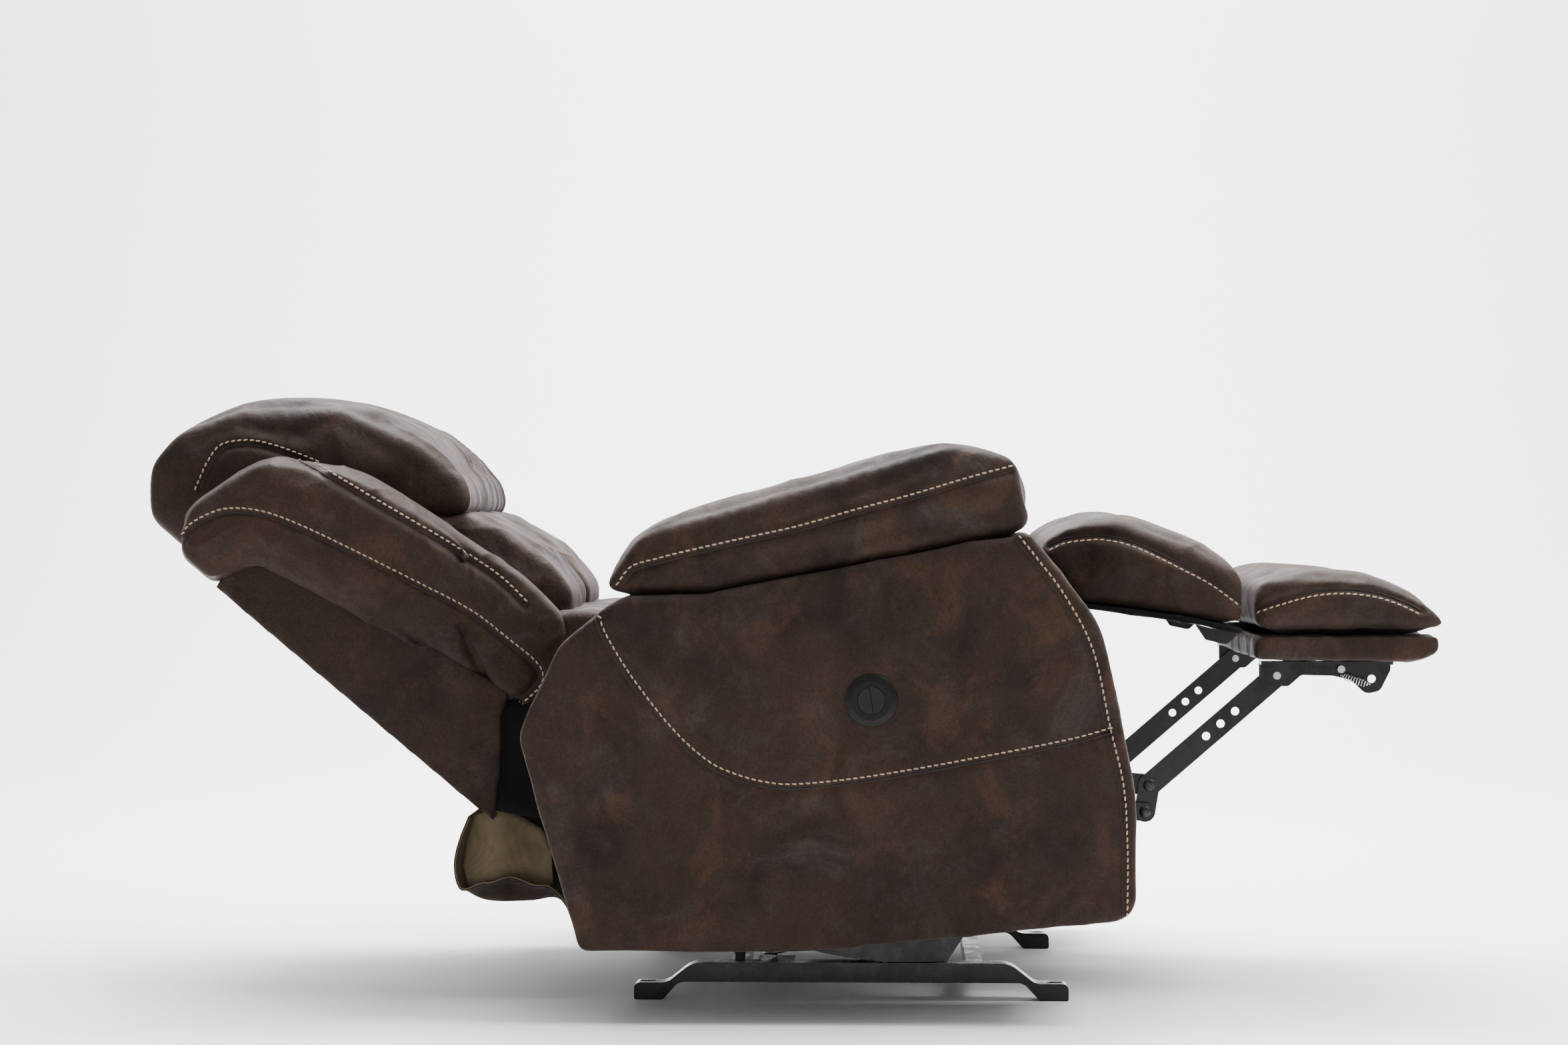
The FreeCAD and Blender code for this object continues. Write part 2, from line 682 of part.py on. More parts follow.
def backrest():
    """Outer cover, frame with springs and brackets, bolsters and pillows."""
    length = D.back_length
    skin = D.back_skin
    crease = [(length, 0), (length - 15, 34, 12), (length - 38, 61, 16), (length - 83, 74), (59, 131)]
    shell = profile_body("back_cover", [(-36, 2)] + [(0, 0)] + crease + [(47, 116, 8), (-9, 45, 40)],
                         "0", "dims.seat_half", 0, place=back_place())
    hollow = [(-90, skin), (length - 12, skin), (length - 12, 330), (-90, 330)]
    doc.recompute()
    before = shell.Shape.Volume
    sketch = new_sketch(shell, "YZ_Plane", "back_hollow_outline", hollow)
    sketch.setExpression("AttachmentOffset.Base.z", "dims.side_skin")
    pocket = shell.newObject("PartDesign::Pocket", "back_hollow")
    pocket.Profile = sketch
    pocket.Reversed = True
    pocket.setExpression("Length", "2 * (dims.seat_half - dims.side_skin)")
    doc.recompute()
    if shell.Shape.Volume > before - 1e-3:
        raise RuntimeError("the back cover is not hollow")

    # frame: two stiles with three rails between them
    depth = skin
    stile_out = D.seat_half - D.side_skin
    stile_in = stile_out - D.stile_thick
    pieces = []
    frame_top = length - 53
    stile = [(-4, depth), (frame_top, depth), (frame_top, depth + D.frame_depth), (-4, depth + D.frame_depth)]
    for name, side in SIDES:
        pieces.append(profile_body("back_stile_" + name, stile, str(stile_in), str(stile_out), side,
                                   place=back_place(), register=False))
    for tag, start, reach in (("low", 0, stile_in - D.link_thick), ("middle", 182, stile_in),
                              ("high", frame_top - 44, stile_in)):
        rail = [(start, depth), (start + 44, depth), (start + 44, depth + D.frame_depth),
                (start, depth + D.frame_depth)]
        pieces.append(profile_body("back_rail_" + tag, rail, "0", str(reach), 0,
                                   place=back_place(), register=False))
    group("back_frame", pieces)

    wire = D.wire_radius
    springs = []
    front = depth + D.frame_depth + D.soft_gap + wire
    for number in range(4):
        x = (number - 1.5) * 112
        place = back_place().multiply(Placement(Vector(x, 0, front), Rotation()))
        springs.append(sinuous("back_spring_%d" % number, wire, 12, frame_top - 10, 24, 12, place))
    group("back_springs", springs)

    # brackets that hang the frame on the recline pins
    pin = in_back(*recline_pivot)
    bracket = [
        (pin[0] + 18, pin[1] + 18, 17), (pin[0] + 18, 62, 10), (150, 58, 6), (150, 24, 6), (-24, 24, 14),
        (pin[0] - 18, pin[1] + 18, 17),
    ]
    hole = [(pin[0], pin[1], "dims.pin_radius + dims.running_gap")]
    for name, side in SIDES:
        profile_body("back_bracket_" + name, bracket, str(stile_in - D.link_thick), str(stile_in), side,
                     hole, place=back_place())

    soft_front = front + wire + D.soft_gap
    wing(length)
    pillows(soft_front, length)


def wing(length):
    """The side bolsters: a band beside the pillows that stands out over the arms' gap."""
    gap = D.soft_gap
    lower = [(59, 131 + gap), (length - 83, 74 + gap), (length - 38, 61 + gap, 16),
             (length - 14, 35 + gap, 12), (length + 1, gap)]
    band = lower + [
        (length + 60, 2, 20), (length + 90, 60, 40), (length + 50, 178, 60), (length - 60, 246, 120),
        (150, 276, 90), (62, 268, 34), (22, 196, 26), (30, 150, 14),
    ]
    fall = (131 - 74) / (length - 83 - 59)
    bulge = [
        (180, 131 - fall * (180 - 59) + 1.826), (length - 83, 76), (length - 37, 63, 16), (length - 12, 37, 12),
        (length + 4, 6), (length + 56, 8, 18), (length + 84, 62, 38), (length + 46, 172, 56),
        (length - 62, 238, 120), (205, 262, 40),
    ]
    for name, side in SIDES:
        body = profile_body("wing_bolster_" + name, band, "dims.seat_half - dims.wing_width",
                            "dims.seat_half", side, place=back_place())
        if side > 0:
            add_pad(body, "wing_bulge_" + name, bulge, "dims.wing_width + dims.wing_overhang", "0")
        else:
            add_pad(body, "wing_bulge_" + name, bulge, "dims.wing_width + dims.wing_overhang",
                    "-dims.wing_overhang")


def pillows(depth, length):
    """The head pillow across the top and two lumbar pillows side by side below it."""
    half = "dims.seat_half - dims.wing_width - dims.pillow_gap"
    seam = 332
    head = [
        (seam + 1, depth), (length + 2, depth), (length + 8, 4, 10), (length + 140, 6, 30),
        (length + 186, 60, 40), (length + 188, 120, 60), (length + 142, 206, 70), (length + 42, 292, 80),
        (385, 324, 80), (300, 324, 40), (262, 292, 10), (seam + 1, 226),
    ]
    profile_body("head_pillow", head, "0", half, 0, place=back_place())
    lumbar = [
        (24, depth, 8), (seam, depth, 6), (seam, 225), (261, 290, 10), (205, 302, 60), (128, 309, 60),
        (84, 300, 28), (62, 250, 40),
    ]
    for name, side in SIDES:
        profile_body("lumbar_pillow_" + name, lumbar, "dims.pillow_gap", half, side, place=back_place())


def rear_flap():
    """The loose cloth between the outer back's lower edge and the chassis, sagging when reclined."""
    thick = D.flap_thick
    outer = [(D.back_y - 1, D.back_z - 2.5), (516, 214, 30), (525, 160, 40), (505, 126, 18), (440, 124, 40),
             (362, 134)]
    inner = [(362, 134 + thick), (440, 124 + thick, 38), (504, 126 + thick, 15), (525 - thick, 160, 37),
             (516 - thick, 212, 27), (D.back_y - 6, D.back_z - 5.5)]
    profile_body("rear_flap", outer + inner, "0", "dims.seat_half - dims.flap_inset", 0)


# ---------------------------------------------------------------- footrest linkage

def footrest_drive():
    """Torque tube with stub axles, drive links at its ends and the slotted lever in its middle."""
    tube_outer = cylinder_x("tube_outer", "dims.tube_radius", "-dims.drive_lane", "dims.drive_lane", *drive_pivot)
    tube_inner = cylinder_x("tube_inner", "dims.tube_radius - dims.tube_wall", "-dims.drive_lane + 12",
                            "dims.drive_lane - 12", *drive_pivot)
    tube = cut("tube_hollow", tube_outer, tube_inner, register=False)
    axles = []
    for name, side in SIDES:
        start = D.drive_lane if side > 0 else -(plate_outer + 3)
        end = plate_outer + 3 if side > 0 else -D.drive_lane
        axles.append(cylinder_x("stub_axle_" + name, "dims.pin_radius", str(start), str(end), *drive_pivot))
    fused("torque_tube", [tube] + axles)

    for name, side in SIDES:
        profile_body("drive_link_" + name, bar(drive_pivot, elbow_pivot, D.link_half), lane(DRIVE_LANE),
                     lane(DRIVE_LANE, "outer"), side,
                     [drive_pivot + ("dims.pin_radius + dims.fixed_gap",),
                      elbow_pivot + ("dims.rivet_radius + dims.fixed_gap",)])

    # lever: hangs below the tube and leans forward by half its swing
    lean = math.radians(D.lever_swing)
    aim = (-math.sin(lean), -math.cos(lean))
    radius_far = D.actuator_drop / math.cos(lean)
    tip = (D.drive_y + aim[0] * radius_far, D.drive_z + aim[1] * radius_far)
    lever = profile_body("drive_lever", bar(drive_pivot, tip, 18), "0", "4", 0,
                         [drive_pivot + ("dims.tube_radius + dims.fixed_gap",)])
    slot_half = D.rivet_radius + D.lever_gap
    near = along_line(drive_pivot, tip, D.actuator_drop)
    far = along_line(drive_pivot, tip, radius_far)
    cut_through(lever, "YZ_Plane", "lever_slot", bar(near, far, slot_half), 60)

    pins = []
    for name, side in SIDES:
        low = D.drive_lane
        high = D.drive_lane + 2 * D.link_thick + D.lane_gap + 1
        pins.append(cylinder_x("elbow_pin_" + name, "dims.rivet_radius", str(low if side > 0 else -high),
                               str(high if side > 0 else -low), *elbow_pivot))
    group("elbow_pins", pins)


def ottoman_links():
    """The links that carry the footrest, with a tail for the guide links."""
    run = bar(elbow_pivot, bracket_pivot, D.link_half + 1)
    tail = bar(tail_pivot, elbow_pivot, D.link_half)
    for name, side in SIDES:
        holes = [elbow_pivot + ("dims.rivet_radius + dims.running_gap",),
                 bracket_pivot + ("dims.rivet_radius + dims.running_gap",)]
        for number in range(3):
            distance = 100 + number * D.link_hole_step
            holes.append(along_line(elbow_pivot, bracket_pivot, distance) + ("dims.link_hole_radius",))
        body = profile_body("ottoman_link_" + name, run, lane(LINK_LANE), lane(LINK_LANE, "outer"), side, holes)
        sketch = new_sketch(body, "YZ_Plane", "link_tail_outline_" + name, tail,
                            [elbow_pivot + ("dims.rivet_radius + dims.running_gap",),
                             tail_pivot + ("dims.rivet_radius + dims.fixed_gap",)])
        pad = body.newObject("PartDesign::Pad", "link_tail_" + name)
        pad.Profile = sketch
        pad.setExpression("Length", "dims.link_thick")
        cut_through(body, "YZ_Plane", "elbow_hole_" + name,
                    bar((elbow_pivot[0] - 0.001, elbow_pivot[1]), (elbow_pivot[0] + 0.001, elbow_pivot[1]),
                        D.rivet_radius + D.running_gap), 60)
    pins = []
    for name, side in SIDES:
        low = D.drive_lane + D.link_thick + D.lane_gap
        high = low + 2 * D.link_thick + D.lane_gap + 1
        pins.append(cylinder_x("tail_pin_" + name, "dims.rivet_radius", str(low if side > 0 else -high),
                               str(high if side > 0 else -low), *tail_pivot))
    group("tail_pins", pins)


def guide_links():
    """The links that steer the tails of the ottoman links."""
    for name, side in SIDES:
        holes = [guide_pivot + ("dims.rivet_radius + dims.running_gap",),
                 tail_pivot + ("dims.rivet_radius + dims.open_gap",)]
        profile_body("guide_link_" + name, bar(guide_pivot, tail_pivot, D.guide_half), lane(GUIDE_LANE),
                     lane(GUIDE_LANE, "outer"), side, holes)


# ---------------------------------------------------------------- footrest

def footrest():
    """Brackets, covered board, pad and their hardware."""
    low = D.foot_low_z
    rear = D.foot_rear_y
    front = D.foot_front_y
    end = D.bracket_front_y
    y, z = bracket_pivot
    flange = [
        (rear - 10, low), (rear - 10, z - 4, 6), (y + 15, z - 14, 8), (y - 15, z - 14, 8), (y - 32, z + 1, 8),
        (end + 76, 432, 20), (end + 52, 426, 20), (end + 33, 408, 12), (end + 14, 412, 12), (end, 440, 10),
        (end, low),
    ]
    ledge = [(rear - 10, low - D.link_thick), (rear - 10, low), (end, low), (end, low - D.link_thick)]
    pieces = []
    for name, side in SIDES:
        holes = [bracket_pivot + ("dims.rivet_radius + dims.fixed_gap",),
                 (end + 25, 428, "dims.link_hole_radius"),
                 (D.bolt_y, D.bolt_z, "dims.rivet_radius + dims.fixed_gap")]
        angle = profile_body("ottoman_bracket_" + name, flange, lane(GUIDE_LANE), lane(GUIDE_LANE, "outer"),
                             side, holes)
        offset = "0" if side > 0 else "dims.link_thick - dims.bracket_ledge"
        add_pad(angle, "bracket_ledge_" + name, ledge, "dims.bracket_ledge", offset)
        near = D.drive_lane + D.link_thick + D.lane_gap - 1
        high = near + 1 + 2 * D.link_thick + D.lane_gap
        pieces.append(cylinder_x("bracket_pin_" + name, "dims.rivet_radius", str(near if side > 0 else -high),
                                 str(high if side > 0 else -near), *bracket_pivot))
        far = high + 7
        shank = high - D.link_thick
        pieces.append(cylinder_x("bracket_bolt_" + name, "dims.rivet_radius", str(shank if side > 0 else -far),
                                 str(far if side > 0 else -shank), D.bolt_y, D.bolt_z))
    group("footrest_hardware", pieces)

    top = low + D.foot_board_thick
    board = [(rear, low, 6), (rear, top, 3), (front + 6, top, 3), (front + 6, low + 12, 12), (front + 34, low, 12)]
    profile_body("footrest_board", board, "0", "dims.seat_half - 6", 0)
    pad_low = top + D.soft_gap
    pad_top = pad_low + D.foot_pad_thick
    pad = [
        (rear, pad_low, 8), (rear, pad_top - 8, 24), (rear - 50, pad_top, 60), (front + 90, pad_top - 10, 90),
        (front + 28, pad_top - 46, 50), (front, pad_low + 8, 18), (front + 10, pad_low, 8),
    ]
    profile_body("footrest_pad", pad, "0", "dims.seat_half", 0)


def chaise():
    """The pad between seat and footrest, on a thin board, hinged on a rod along the seam."""
    y = D.hinge_y
    z = D.hinge_z
    clear = D.hinge_rod_radius + 0.4
    end_y = D.foot_rear_y + 12
    cylinder = cylinder_x("chaise_rod", "dims.hinge_rod_radius", "-dims.seat_half + 10",
                          "dims.seat_half - 10", y, z)
    keep(cylinder, "chaise_hinge_rod")
    seam = [(y - 56, 530), (-340, 526), (-456, 510), (end_y, 495)]
    pad = [
        (y - clear, z - 6), (y - clear, z + 18, 12), (-300, 646, 60), (-367, 645, 60), (-447, 612, 80),
        (end_y, 572, 16),
    ] + list(reversed([(a, b + D.soft_gap) for a, b in seam]))
    profile_body("chaise_pad", pad, "0", "dims.seat_half", 0)
    board = seam + [(end_y + 4, 486), (-456, 501), (-340, 517), (y - 56, 521)]
    profile_body("chaise_board", board, "0", "dims.seat_half - 8", 0)
    hanger = [(-456, 501), (-470, 480, 6), (-498, 474, 8), (end_y + 8, 487)]
    plates = []
    for name, side in SIDES:
        plates.append(profile_body("chaise_hanger_" + name, hanger, "dims.hanger_lane",
                                   "dims.hanger_lane + dims.link_thick", side, register=False))
    group("chaise_hangers", plates)


# ---------------------------------------------------------------- power unit and switch

def power_unit():
    """Linear actuator between the rear cross tube and the lever."""
    pin_z = D.drive_z - D.actuator_drop
    half_stroke = D.actuator_drop * D.lever_rate * math.radians(D.lever_swing)
    pin_y = D.drive_y - half_stroke
    stroke = 2 * half_stroke
    rear = D.case_rear_y
    front = D.case_front_y
    half = D.case_half
    case = block("actuator_case", (-half, front, pin_z - half), (half, rear, pin_z + half))
    bore = cylinder_y("actuator_bore", "dims.rod_radius + dims.rod_gap", stroke + 50, 0, front - 1, pin_z)
    cut("actuator_housing", case, bore)
    motor = cylinder_z("motor_can", D.motor_radius, D.motor_height, 0, rear - 34, pin_z - half - D.motor_height)
    keep(motor, "drive_motor")
    inlet = block("power_inlet", (half, rear - 50, pin_z - 9), (half + 16, rear - 20, pin_z + 9))
    keep(inlet, "power_inlet")

    back = pin_y + D.fork_length
    wide = D.fork_half
    high = D.rod_radius
    slot = D.fork_slot_half
    rod = cylinder_y("rod_bar", "dims.rod_radius", front + 38 - back, 0, back, pin_z)
    fork = block("rod_fork", (-wide, pin_y - 10, pin_z - high), (wide, back, pin_z + high))
    gap = block("rod_fork_gap", (-slot, pin_y - 11, pin_z - high - 1), (slot, back - 8, pin_z + high + 1))
    open_fork = cut("rod_fork_open", fork, gap, register=False)
    pin = cylinder_x("rod_pin", "dims.rivet_radius", "-dims.fork_half", "dims.fork_half", pin_y, pin_z)
    fused("actuator_rod", [rod, open_fork, pin])


def switch():
    """Round bezel on the right arm with two half-round buttons."""
    face = D.seat_half + D.arm_gap + D.arm_width
    y = D.switch_y
    z = D.switch_z
    bezel = doc.addObject("PartDesign::Body", "switch_bezel")
    bore = D.button_radius + 0.5
    back = 26
    section = [
        (bore, 4.6), (D.bezel_radius - 8, 4.6, 3), (D.bezel_radius, 1.6, 2), (D.bezel_radius, 0),
        (D.button_radius + 7, 0), (D.button_radius + 7, -back), (0, -back), (0, -back + 3), (bore, -back + 3),
    ]
    sketch = new_sketch(bezel, "XZ_Plane", "bezel_section", [(b, a) + tuple(r) for a, b, *r in section])
    turned = bezel.newObject("PartDesign::Revolution", "bezel_turned")
    turned.Profile = sketch
    turned.ReferenceAxis = (sketch, ["H_Axis"])
    turned.Angle = 360
    bezel.Placement = Placement(Vector(-face, y, z), Rotation(Vector(0, 0, 1), 180))
    keep(bezel, "switch_bezel")

    # two D-shaped buttons either side of a bar that leans back
    split = 0.4
    radius = D.button_radius
    lean = -10
    reach = math.sqrt(radius * radius - split * split)
    for label, side in (("button_open", -1), ("button_close", 1)):
        body = doc.addObject("PartDesign::Body", label)
        sketch = body.newObject("Sketcher::SketchObject", label + "_outline")
        sketch.AttachmentSupport = (plane(body, "YZ_Plane"), [""])
        sketch.MapMode = "FlatFace"
        low = Vector(side * split, -reach, 0)
        high = Vector(side * split, reach, 0)
        sketch.addGeometry([Part.Arc(low, Vector(side * radius, 0, 0), high), Part.LineSegment(high, low)], False)
        pad = body.newObject("PartDesign::Pad", label + "_pad")
        pad.Profile = sketch
        pad.Length = 5.6 + back - 3 - D.button_travel - 1
        body.Placement = Placement(Vector(-face - 5.6, y, z), Rotation(Vector(1, 0, 0), lean))
        keep(body, label)


# ---------------------------------------------------------------- build

rocker_base()
rocker_cams()
side_plates()
chassis_feet()
seat()
arms()
backrest()
rear_flap()
footrest_drive()
ottoman_links()
guide_links()
footrest()
chaise()
power_unit()
switch()

doc.recompute()
for item in doc.Objects:
    if "Invalid" in item.State or "Error" in item.State:
        raise RuntimeError("%s did not build: %s" % (item.Label, item.State))
for node in NODES:
    if node.Shape.isNull() or not node.Shape.isValid():
        raise RuntimeError("%s has no valid shape" % node.Label)
for node in NODES:
    node.Shape.exportStep("parts/%s.step" % node.Label)
print("%d nodes written" % len(NODES))
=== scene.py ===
"""Recliner armchair: covers, cushions, stitching and finishes over the CAD frame."""

import json
import math

import bmesh
import bpy
import numpy as np
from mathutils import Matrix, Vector, noise
from mathutils.bvhtree import BVHTree


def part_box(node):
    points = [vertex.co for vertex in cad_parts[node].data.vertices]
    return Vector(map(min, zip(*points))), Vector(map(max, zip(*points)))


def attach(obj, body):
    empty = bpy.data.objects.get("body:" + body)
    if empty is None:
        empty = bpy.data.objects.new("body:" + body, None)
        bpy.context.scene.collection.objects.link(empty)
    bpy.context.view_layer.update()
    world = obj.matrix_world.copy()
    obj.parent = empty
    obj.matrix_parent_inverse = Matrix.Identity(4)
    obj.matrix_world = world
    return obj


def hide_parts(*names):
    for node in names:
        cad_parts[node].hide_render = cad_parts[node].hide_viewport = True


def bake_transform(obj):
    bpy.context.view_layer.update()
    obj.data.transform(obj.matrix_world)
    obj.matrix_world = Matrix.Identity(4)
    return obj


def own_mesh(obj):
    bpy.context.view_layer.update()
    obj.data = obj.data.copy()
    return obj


bl_info = {
    "name": "Recliner Armchair",
    "version": (1, 0, 0),
    "blender": (4, 5, 0),
    "location": "3D View > Sidebar > Recliner",
    "description": "Builds a reclined armchair with stitched covers on its CAD frame",
    "category": "Object",
}

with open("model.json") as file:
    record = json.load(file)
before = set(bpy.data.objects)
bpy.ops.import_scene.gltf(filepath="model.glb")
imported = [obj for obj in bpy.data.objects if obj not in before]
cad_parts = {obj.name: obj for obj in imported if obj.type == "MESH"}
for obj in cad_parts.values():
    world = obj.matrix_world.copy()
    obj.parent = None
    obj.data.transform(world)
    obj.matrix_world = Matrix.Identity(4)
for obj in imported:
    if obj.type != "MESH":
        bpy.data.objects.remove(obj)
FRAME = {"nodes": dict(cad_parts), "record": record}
bpy.context.view_layer.update()
SIDES = (("right", -1), ("left", 1))
MM = 0.001


# ---------------------------------------------------------------- sizes and colours

class ReclinerSizes(bpy.types.PropertyGroup):
    """Sizes of the soft pieces and their stitching."""

    stitch_length: bpy.props.FloatProperty(
        name="Stitch length", description="Length of one visible stitch",
        default=0.0062, unit="LENGTH")
    stitch_pitch: bpy.props.FloatProperty(
        name="Stitch pitch", description="Distance from one stitch to the next",
        default=0.0086, unit="LENGTH")
    thread_radius: bpy.props.FloatProperty(
        name="Thread radius", description="Radius of the stitching thread",
        default=0.00115, unit="LENGTH")
    seam_offset: bpy.props.FloatProperty(
        name="Seam offset", description="Distance from the stitches to the seam beside them",
        default=0.0062, unit="LENGTH")
    seam_depth: bpy.props.FloatProperty(
        name="Seam depth", description="How far the seam is pulled into the padding",
        default=0.0050, unit="LENGTH")
    cushion_swell: bpy.props.FloatProperty(
        name="Cushion swell", description="How far a filled cushion's top stands above its CAD solid",
        default=0.003, unit="LENGTH")
    pad_voxel: bpy.props.FloatProperty(
        name="Pad mesh size", description="Mesh size of the padded pieces before they are filled",
        default=0.006, unit="LENGTH")
    cover_voxel: bpy.props.FloatProperty(
        name="Cover mesh size", description="Mesh size of the tight covers",
        default=0.005, unit="LENGTH")


class ReclinerColours(bpy.types.PropertyGroup):
    """Colours of the covers and the metal."""

    cover_dark: bpy.props.FloatVectorProperty(
        name="Cover, dark", description="Darkest brown of the mottled cover",
        subtype="COLOR", size=3, min=0, max=1, default=(0.0090, 0.0054, 0.0041))
    cover_mid: bpy.props.FloatVectorProperty(
        name="Cover, middle", description="Main brown of the cover",
        subtype="COLOR", size=3, min=0, max=1, default=(0.0215, 0.0118, 0.0082))
    cover_rust: bpy.props.FloatVectorProperty(
        name="Cover, rust", description="Reddish patches of the cover",
        subtype="COLOR", size=3, min=0, max=1, default=(0.0430, 0.0205, 0.0110))
    cover_worn: bpy.props.FloatVectorProperty(
        name="Cover, worn", description="Grey bloom of the rubbed patches",
        subtype="COLOR", size=3, min=0, max=1, default=(0.043, 0.035, 0.0345))
    thread: bpy.props.FloatVectorProperty(
        name="Thread", description="Stitching thread",
        subtype="COLOR", size=3, min=0, max=1, default=(0.36, 0.26, 0.155))
    lining: bpy.props.FloatVectorProperty(
        name="Lining", description="Khaki lining of the rear flap",
        subtype="COLOR", size=3, min=0, max=1, default=(0.120, 0.093, 0.056))
    enamel: bpy.props.FloatVectorProperty(
        name="Enamel", description="Black enamel of the mechanism",
        subtype="COLOR", size=3, min=0, max=1, default=(0.0042, 0.0044, 0.0046))
    floor: bpy.props.FloatVectorProperty(
        name="Floor", description="Pale studio floor",
        subtype="COLOR", size=3, min=0, max=1, default=(0.86, 0.86, 0.86))


def sizes():
    return bpy.context.scene.recliner_sizes


def colours():
    return bpy.context.scene.recliner_colours


# ---------------------------------------------------------------- selecting and making meshes

def deselect():
    if bpy.context.object is not None and bpy.context.object.mode != "OBJECT":
        bpy.ops.object.mode_set(mode="OBJECT")
    bpy.ops.object.select_all(action="DESELECT")


def pick(piece):
    """Make one piece the selected and active one."""
    deselect()
    piece.select_set(True)
    bpy.context.view_layer.objects.active = piece


def settle(piece):
    """Put a piece's place, turn and scale into its mesh."""
    pick(piece)
    bpy.ops.object.transform_apply(location=True, rotation=True, scale=True)
    return piece


def apply_modifier(piece, kind, **values):
    name = "shape"
    modifier = piece.modifiers.new(name, kind)
    for key, value in values.items():
        setattr(modifier, key, value)
    pick(piece)
    bpy.ops.object.modifier_apply(modifier=name)
    return piece


def new_object(name, mesh):
    piece = bpy.data.objects.new(name, mesh)
    bpy.context.scene.collection.objects.link(piece)
    return piece


def smooth_shade(piece):
    pick(piece)
    bpy.ops.object.shade_smooth()
    return piece


def weld(piece, distance=0.00005):
    """Merge doubles and turn every face outwards."""
    pick(piece)
    bpy.ops.object.mode_set(mode="EDIT")
    bpy.ops.mesh.select_all(action="SELECT")
    bpy.ops.mesh.remove_doubles(threshold=distance)
    bpy.ops.mesh.normals_make_consistent(inside=False)
    bpy.ops.object.mode_set(mode="OBJECT")
    return piece


def copy_of(node, name):
    """A new piece with a copy of a CAD node's shape."""
    piece = new_object(name, FRAME["nodes"][node].data.copy())
    piece.data.materials.clear()
    return weld(piece)


def coordinates(piece):
    values = np.empty(len(piece.data.vertices) * 3)
    piece.data.vertices.foreach_get("co", values)
    return values.reshape(-1, 3)


def set_coordinates(piece, values):
    piece.data.vertices.foreach_set("co", np.ascontiguousarray(values, dtype=np.float32).ravel())
    piece.data.update()


def normals(piece):
    values = np.empty(len(piece.data.vertices) * 3)
    piece.data.vertex_normals.foreach_get("vector", values)
    return values.reshape(-1, 3)


def mirrored(piece, name):
    """The same piece for the other side of the chair."""
    other = new_object(name, piece.data.copy())
    values = coordinates(other)
    values[:, 0] *= -1
    set_coordinates(other, values)
    pick(other)
    bpy.ops.object.mode_set(mode="EDIT")
    bpy.ops.mesh.select_all(action="SELECT")
    bpy.ops.mesh.flip_normals()
    bpy.ops.object.mode_set(mode="OBJECT")
    return other


# ---------------------------------------------------------------- padding

def remesh(piece, size):
    return apply_modifier(piece, "REMESH", mode="VOXEL", voxel_size=size)


def soften(piece, rounds):
    """Round every edge, as padding under a cover does."""
    return apply_modifier(piece, "SMOOTH", factor=0.5, iterations=rounds)


def refine(piece):
    return apply_modifier(piece, "SUBSURF", levels=1, render_levels=1)


def fill_up(piece, cap):
    """Blow the cover up with the filling's pressure, up to a cap, with little motion inwards."""
    frames = 20
    inward_cut = 0.85
    scene = bpy.context.scene
    before = coordinates(piece)
    outward = normals(piece)
    cloth = piece.modifiers.new("Cloth", "CLOTH")
    fabric = cloth.settings
    fabric.quality = 4
    fabric.mass = 0.3
    fabric.tension_stiffness = 12
    fabric.compression_stiffness = 12
    fabric.shear_stiffness = 5
    fabric.bending_stiffness = 0.4
    fabric.use_pressure = True
    fabric.uniform_pressure_force = 4.0
    fabric.effector_weights.gravity = 0
    cloth.point_cache.frame_start = 1
    cloth.point_cache.frame_end = frames
    for frame in range(1, frames + 1):
        scene.frame_set(frame)
    pick(piece)
    bpy.ops.object.modifier_apply(modifier="Cloth")
    scene.frame_set(1)
    moved = coordinates(piece) - before
    inward = np.minimum((moved * outward).sum(axis=1), 0)
    moved -= outward * (inward * inward_cut)[:, None]
    length = np.maximum(np.linalg.norm(moved, axis=1), 1e-9)
    limit = cap * np.tanh(length / cap)
    set_coordinates(piece, before + moved * (limit / length)[:, None])


def refit(piece, low, high):
    """Stretch a rounded piece back to the box that it had before."""
    values = coordinates(piece)
    least = values.min(axis=0)
    share = (values - least) / np.maximum(values.max(axis=0) - least, 1e-6)
    set_coordinates(piece, low + share * (high - low))


def folds(piece, height, stretch, seed, where=None):
    """Creases of the cover: ridged noise with its own stretch along each axis."""
    values = coordinates(piece)
    directions = normals(piece)
    shift = Vector((seed * 3.1, seed * 1.7, seed * 2.3))
    for index, point in enumerate(values):
        share = 1.0 if where is None else where(point)
        if share <= 0.01:
            continue
        at = Vector((point[0] * stretch[0], point[1] * stretch[1], point[2] * stretch[2])) + shift
        ridge = 1 - abs(noise.noise(at)) * 2
        soft = noise.noise(at * 0.45 + shift)
        values[index] += directions[index] * height * share * (ridge ** 3 * 0.8 + soft * 0.7 - 0.35)
    set_coordinates(piece, values)


def padded_piece(name, node, draw, rounds, cap, voxel=None, reshape=None):
    """A cushion made from a CAD node: remeshed, rounded, filled and refined."""
    piece = copy_of(node, name)
    remesh(piece, voxel or sizes().pad_voxel)
    if reshape is not None:
        reshape(piece)
    before = coordinates(piece)
    soften(piece, rounds)
    refit(piece, before.min(axis=0) + draw, before.max(axis=0) - draw)
    fill_up(piece, cap)
    soften(piece, 6)
    swell = sizes().cushion_swell
    refit(piece, before.min(axis=0) - (0, 0, 0.001), before.max(axis=0) + (0, 0, swell))
    refine(piece)
    return smooth_shade(piece)


# ---------------------------------------------------------------- seams and stitching

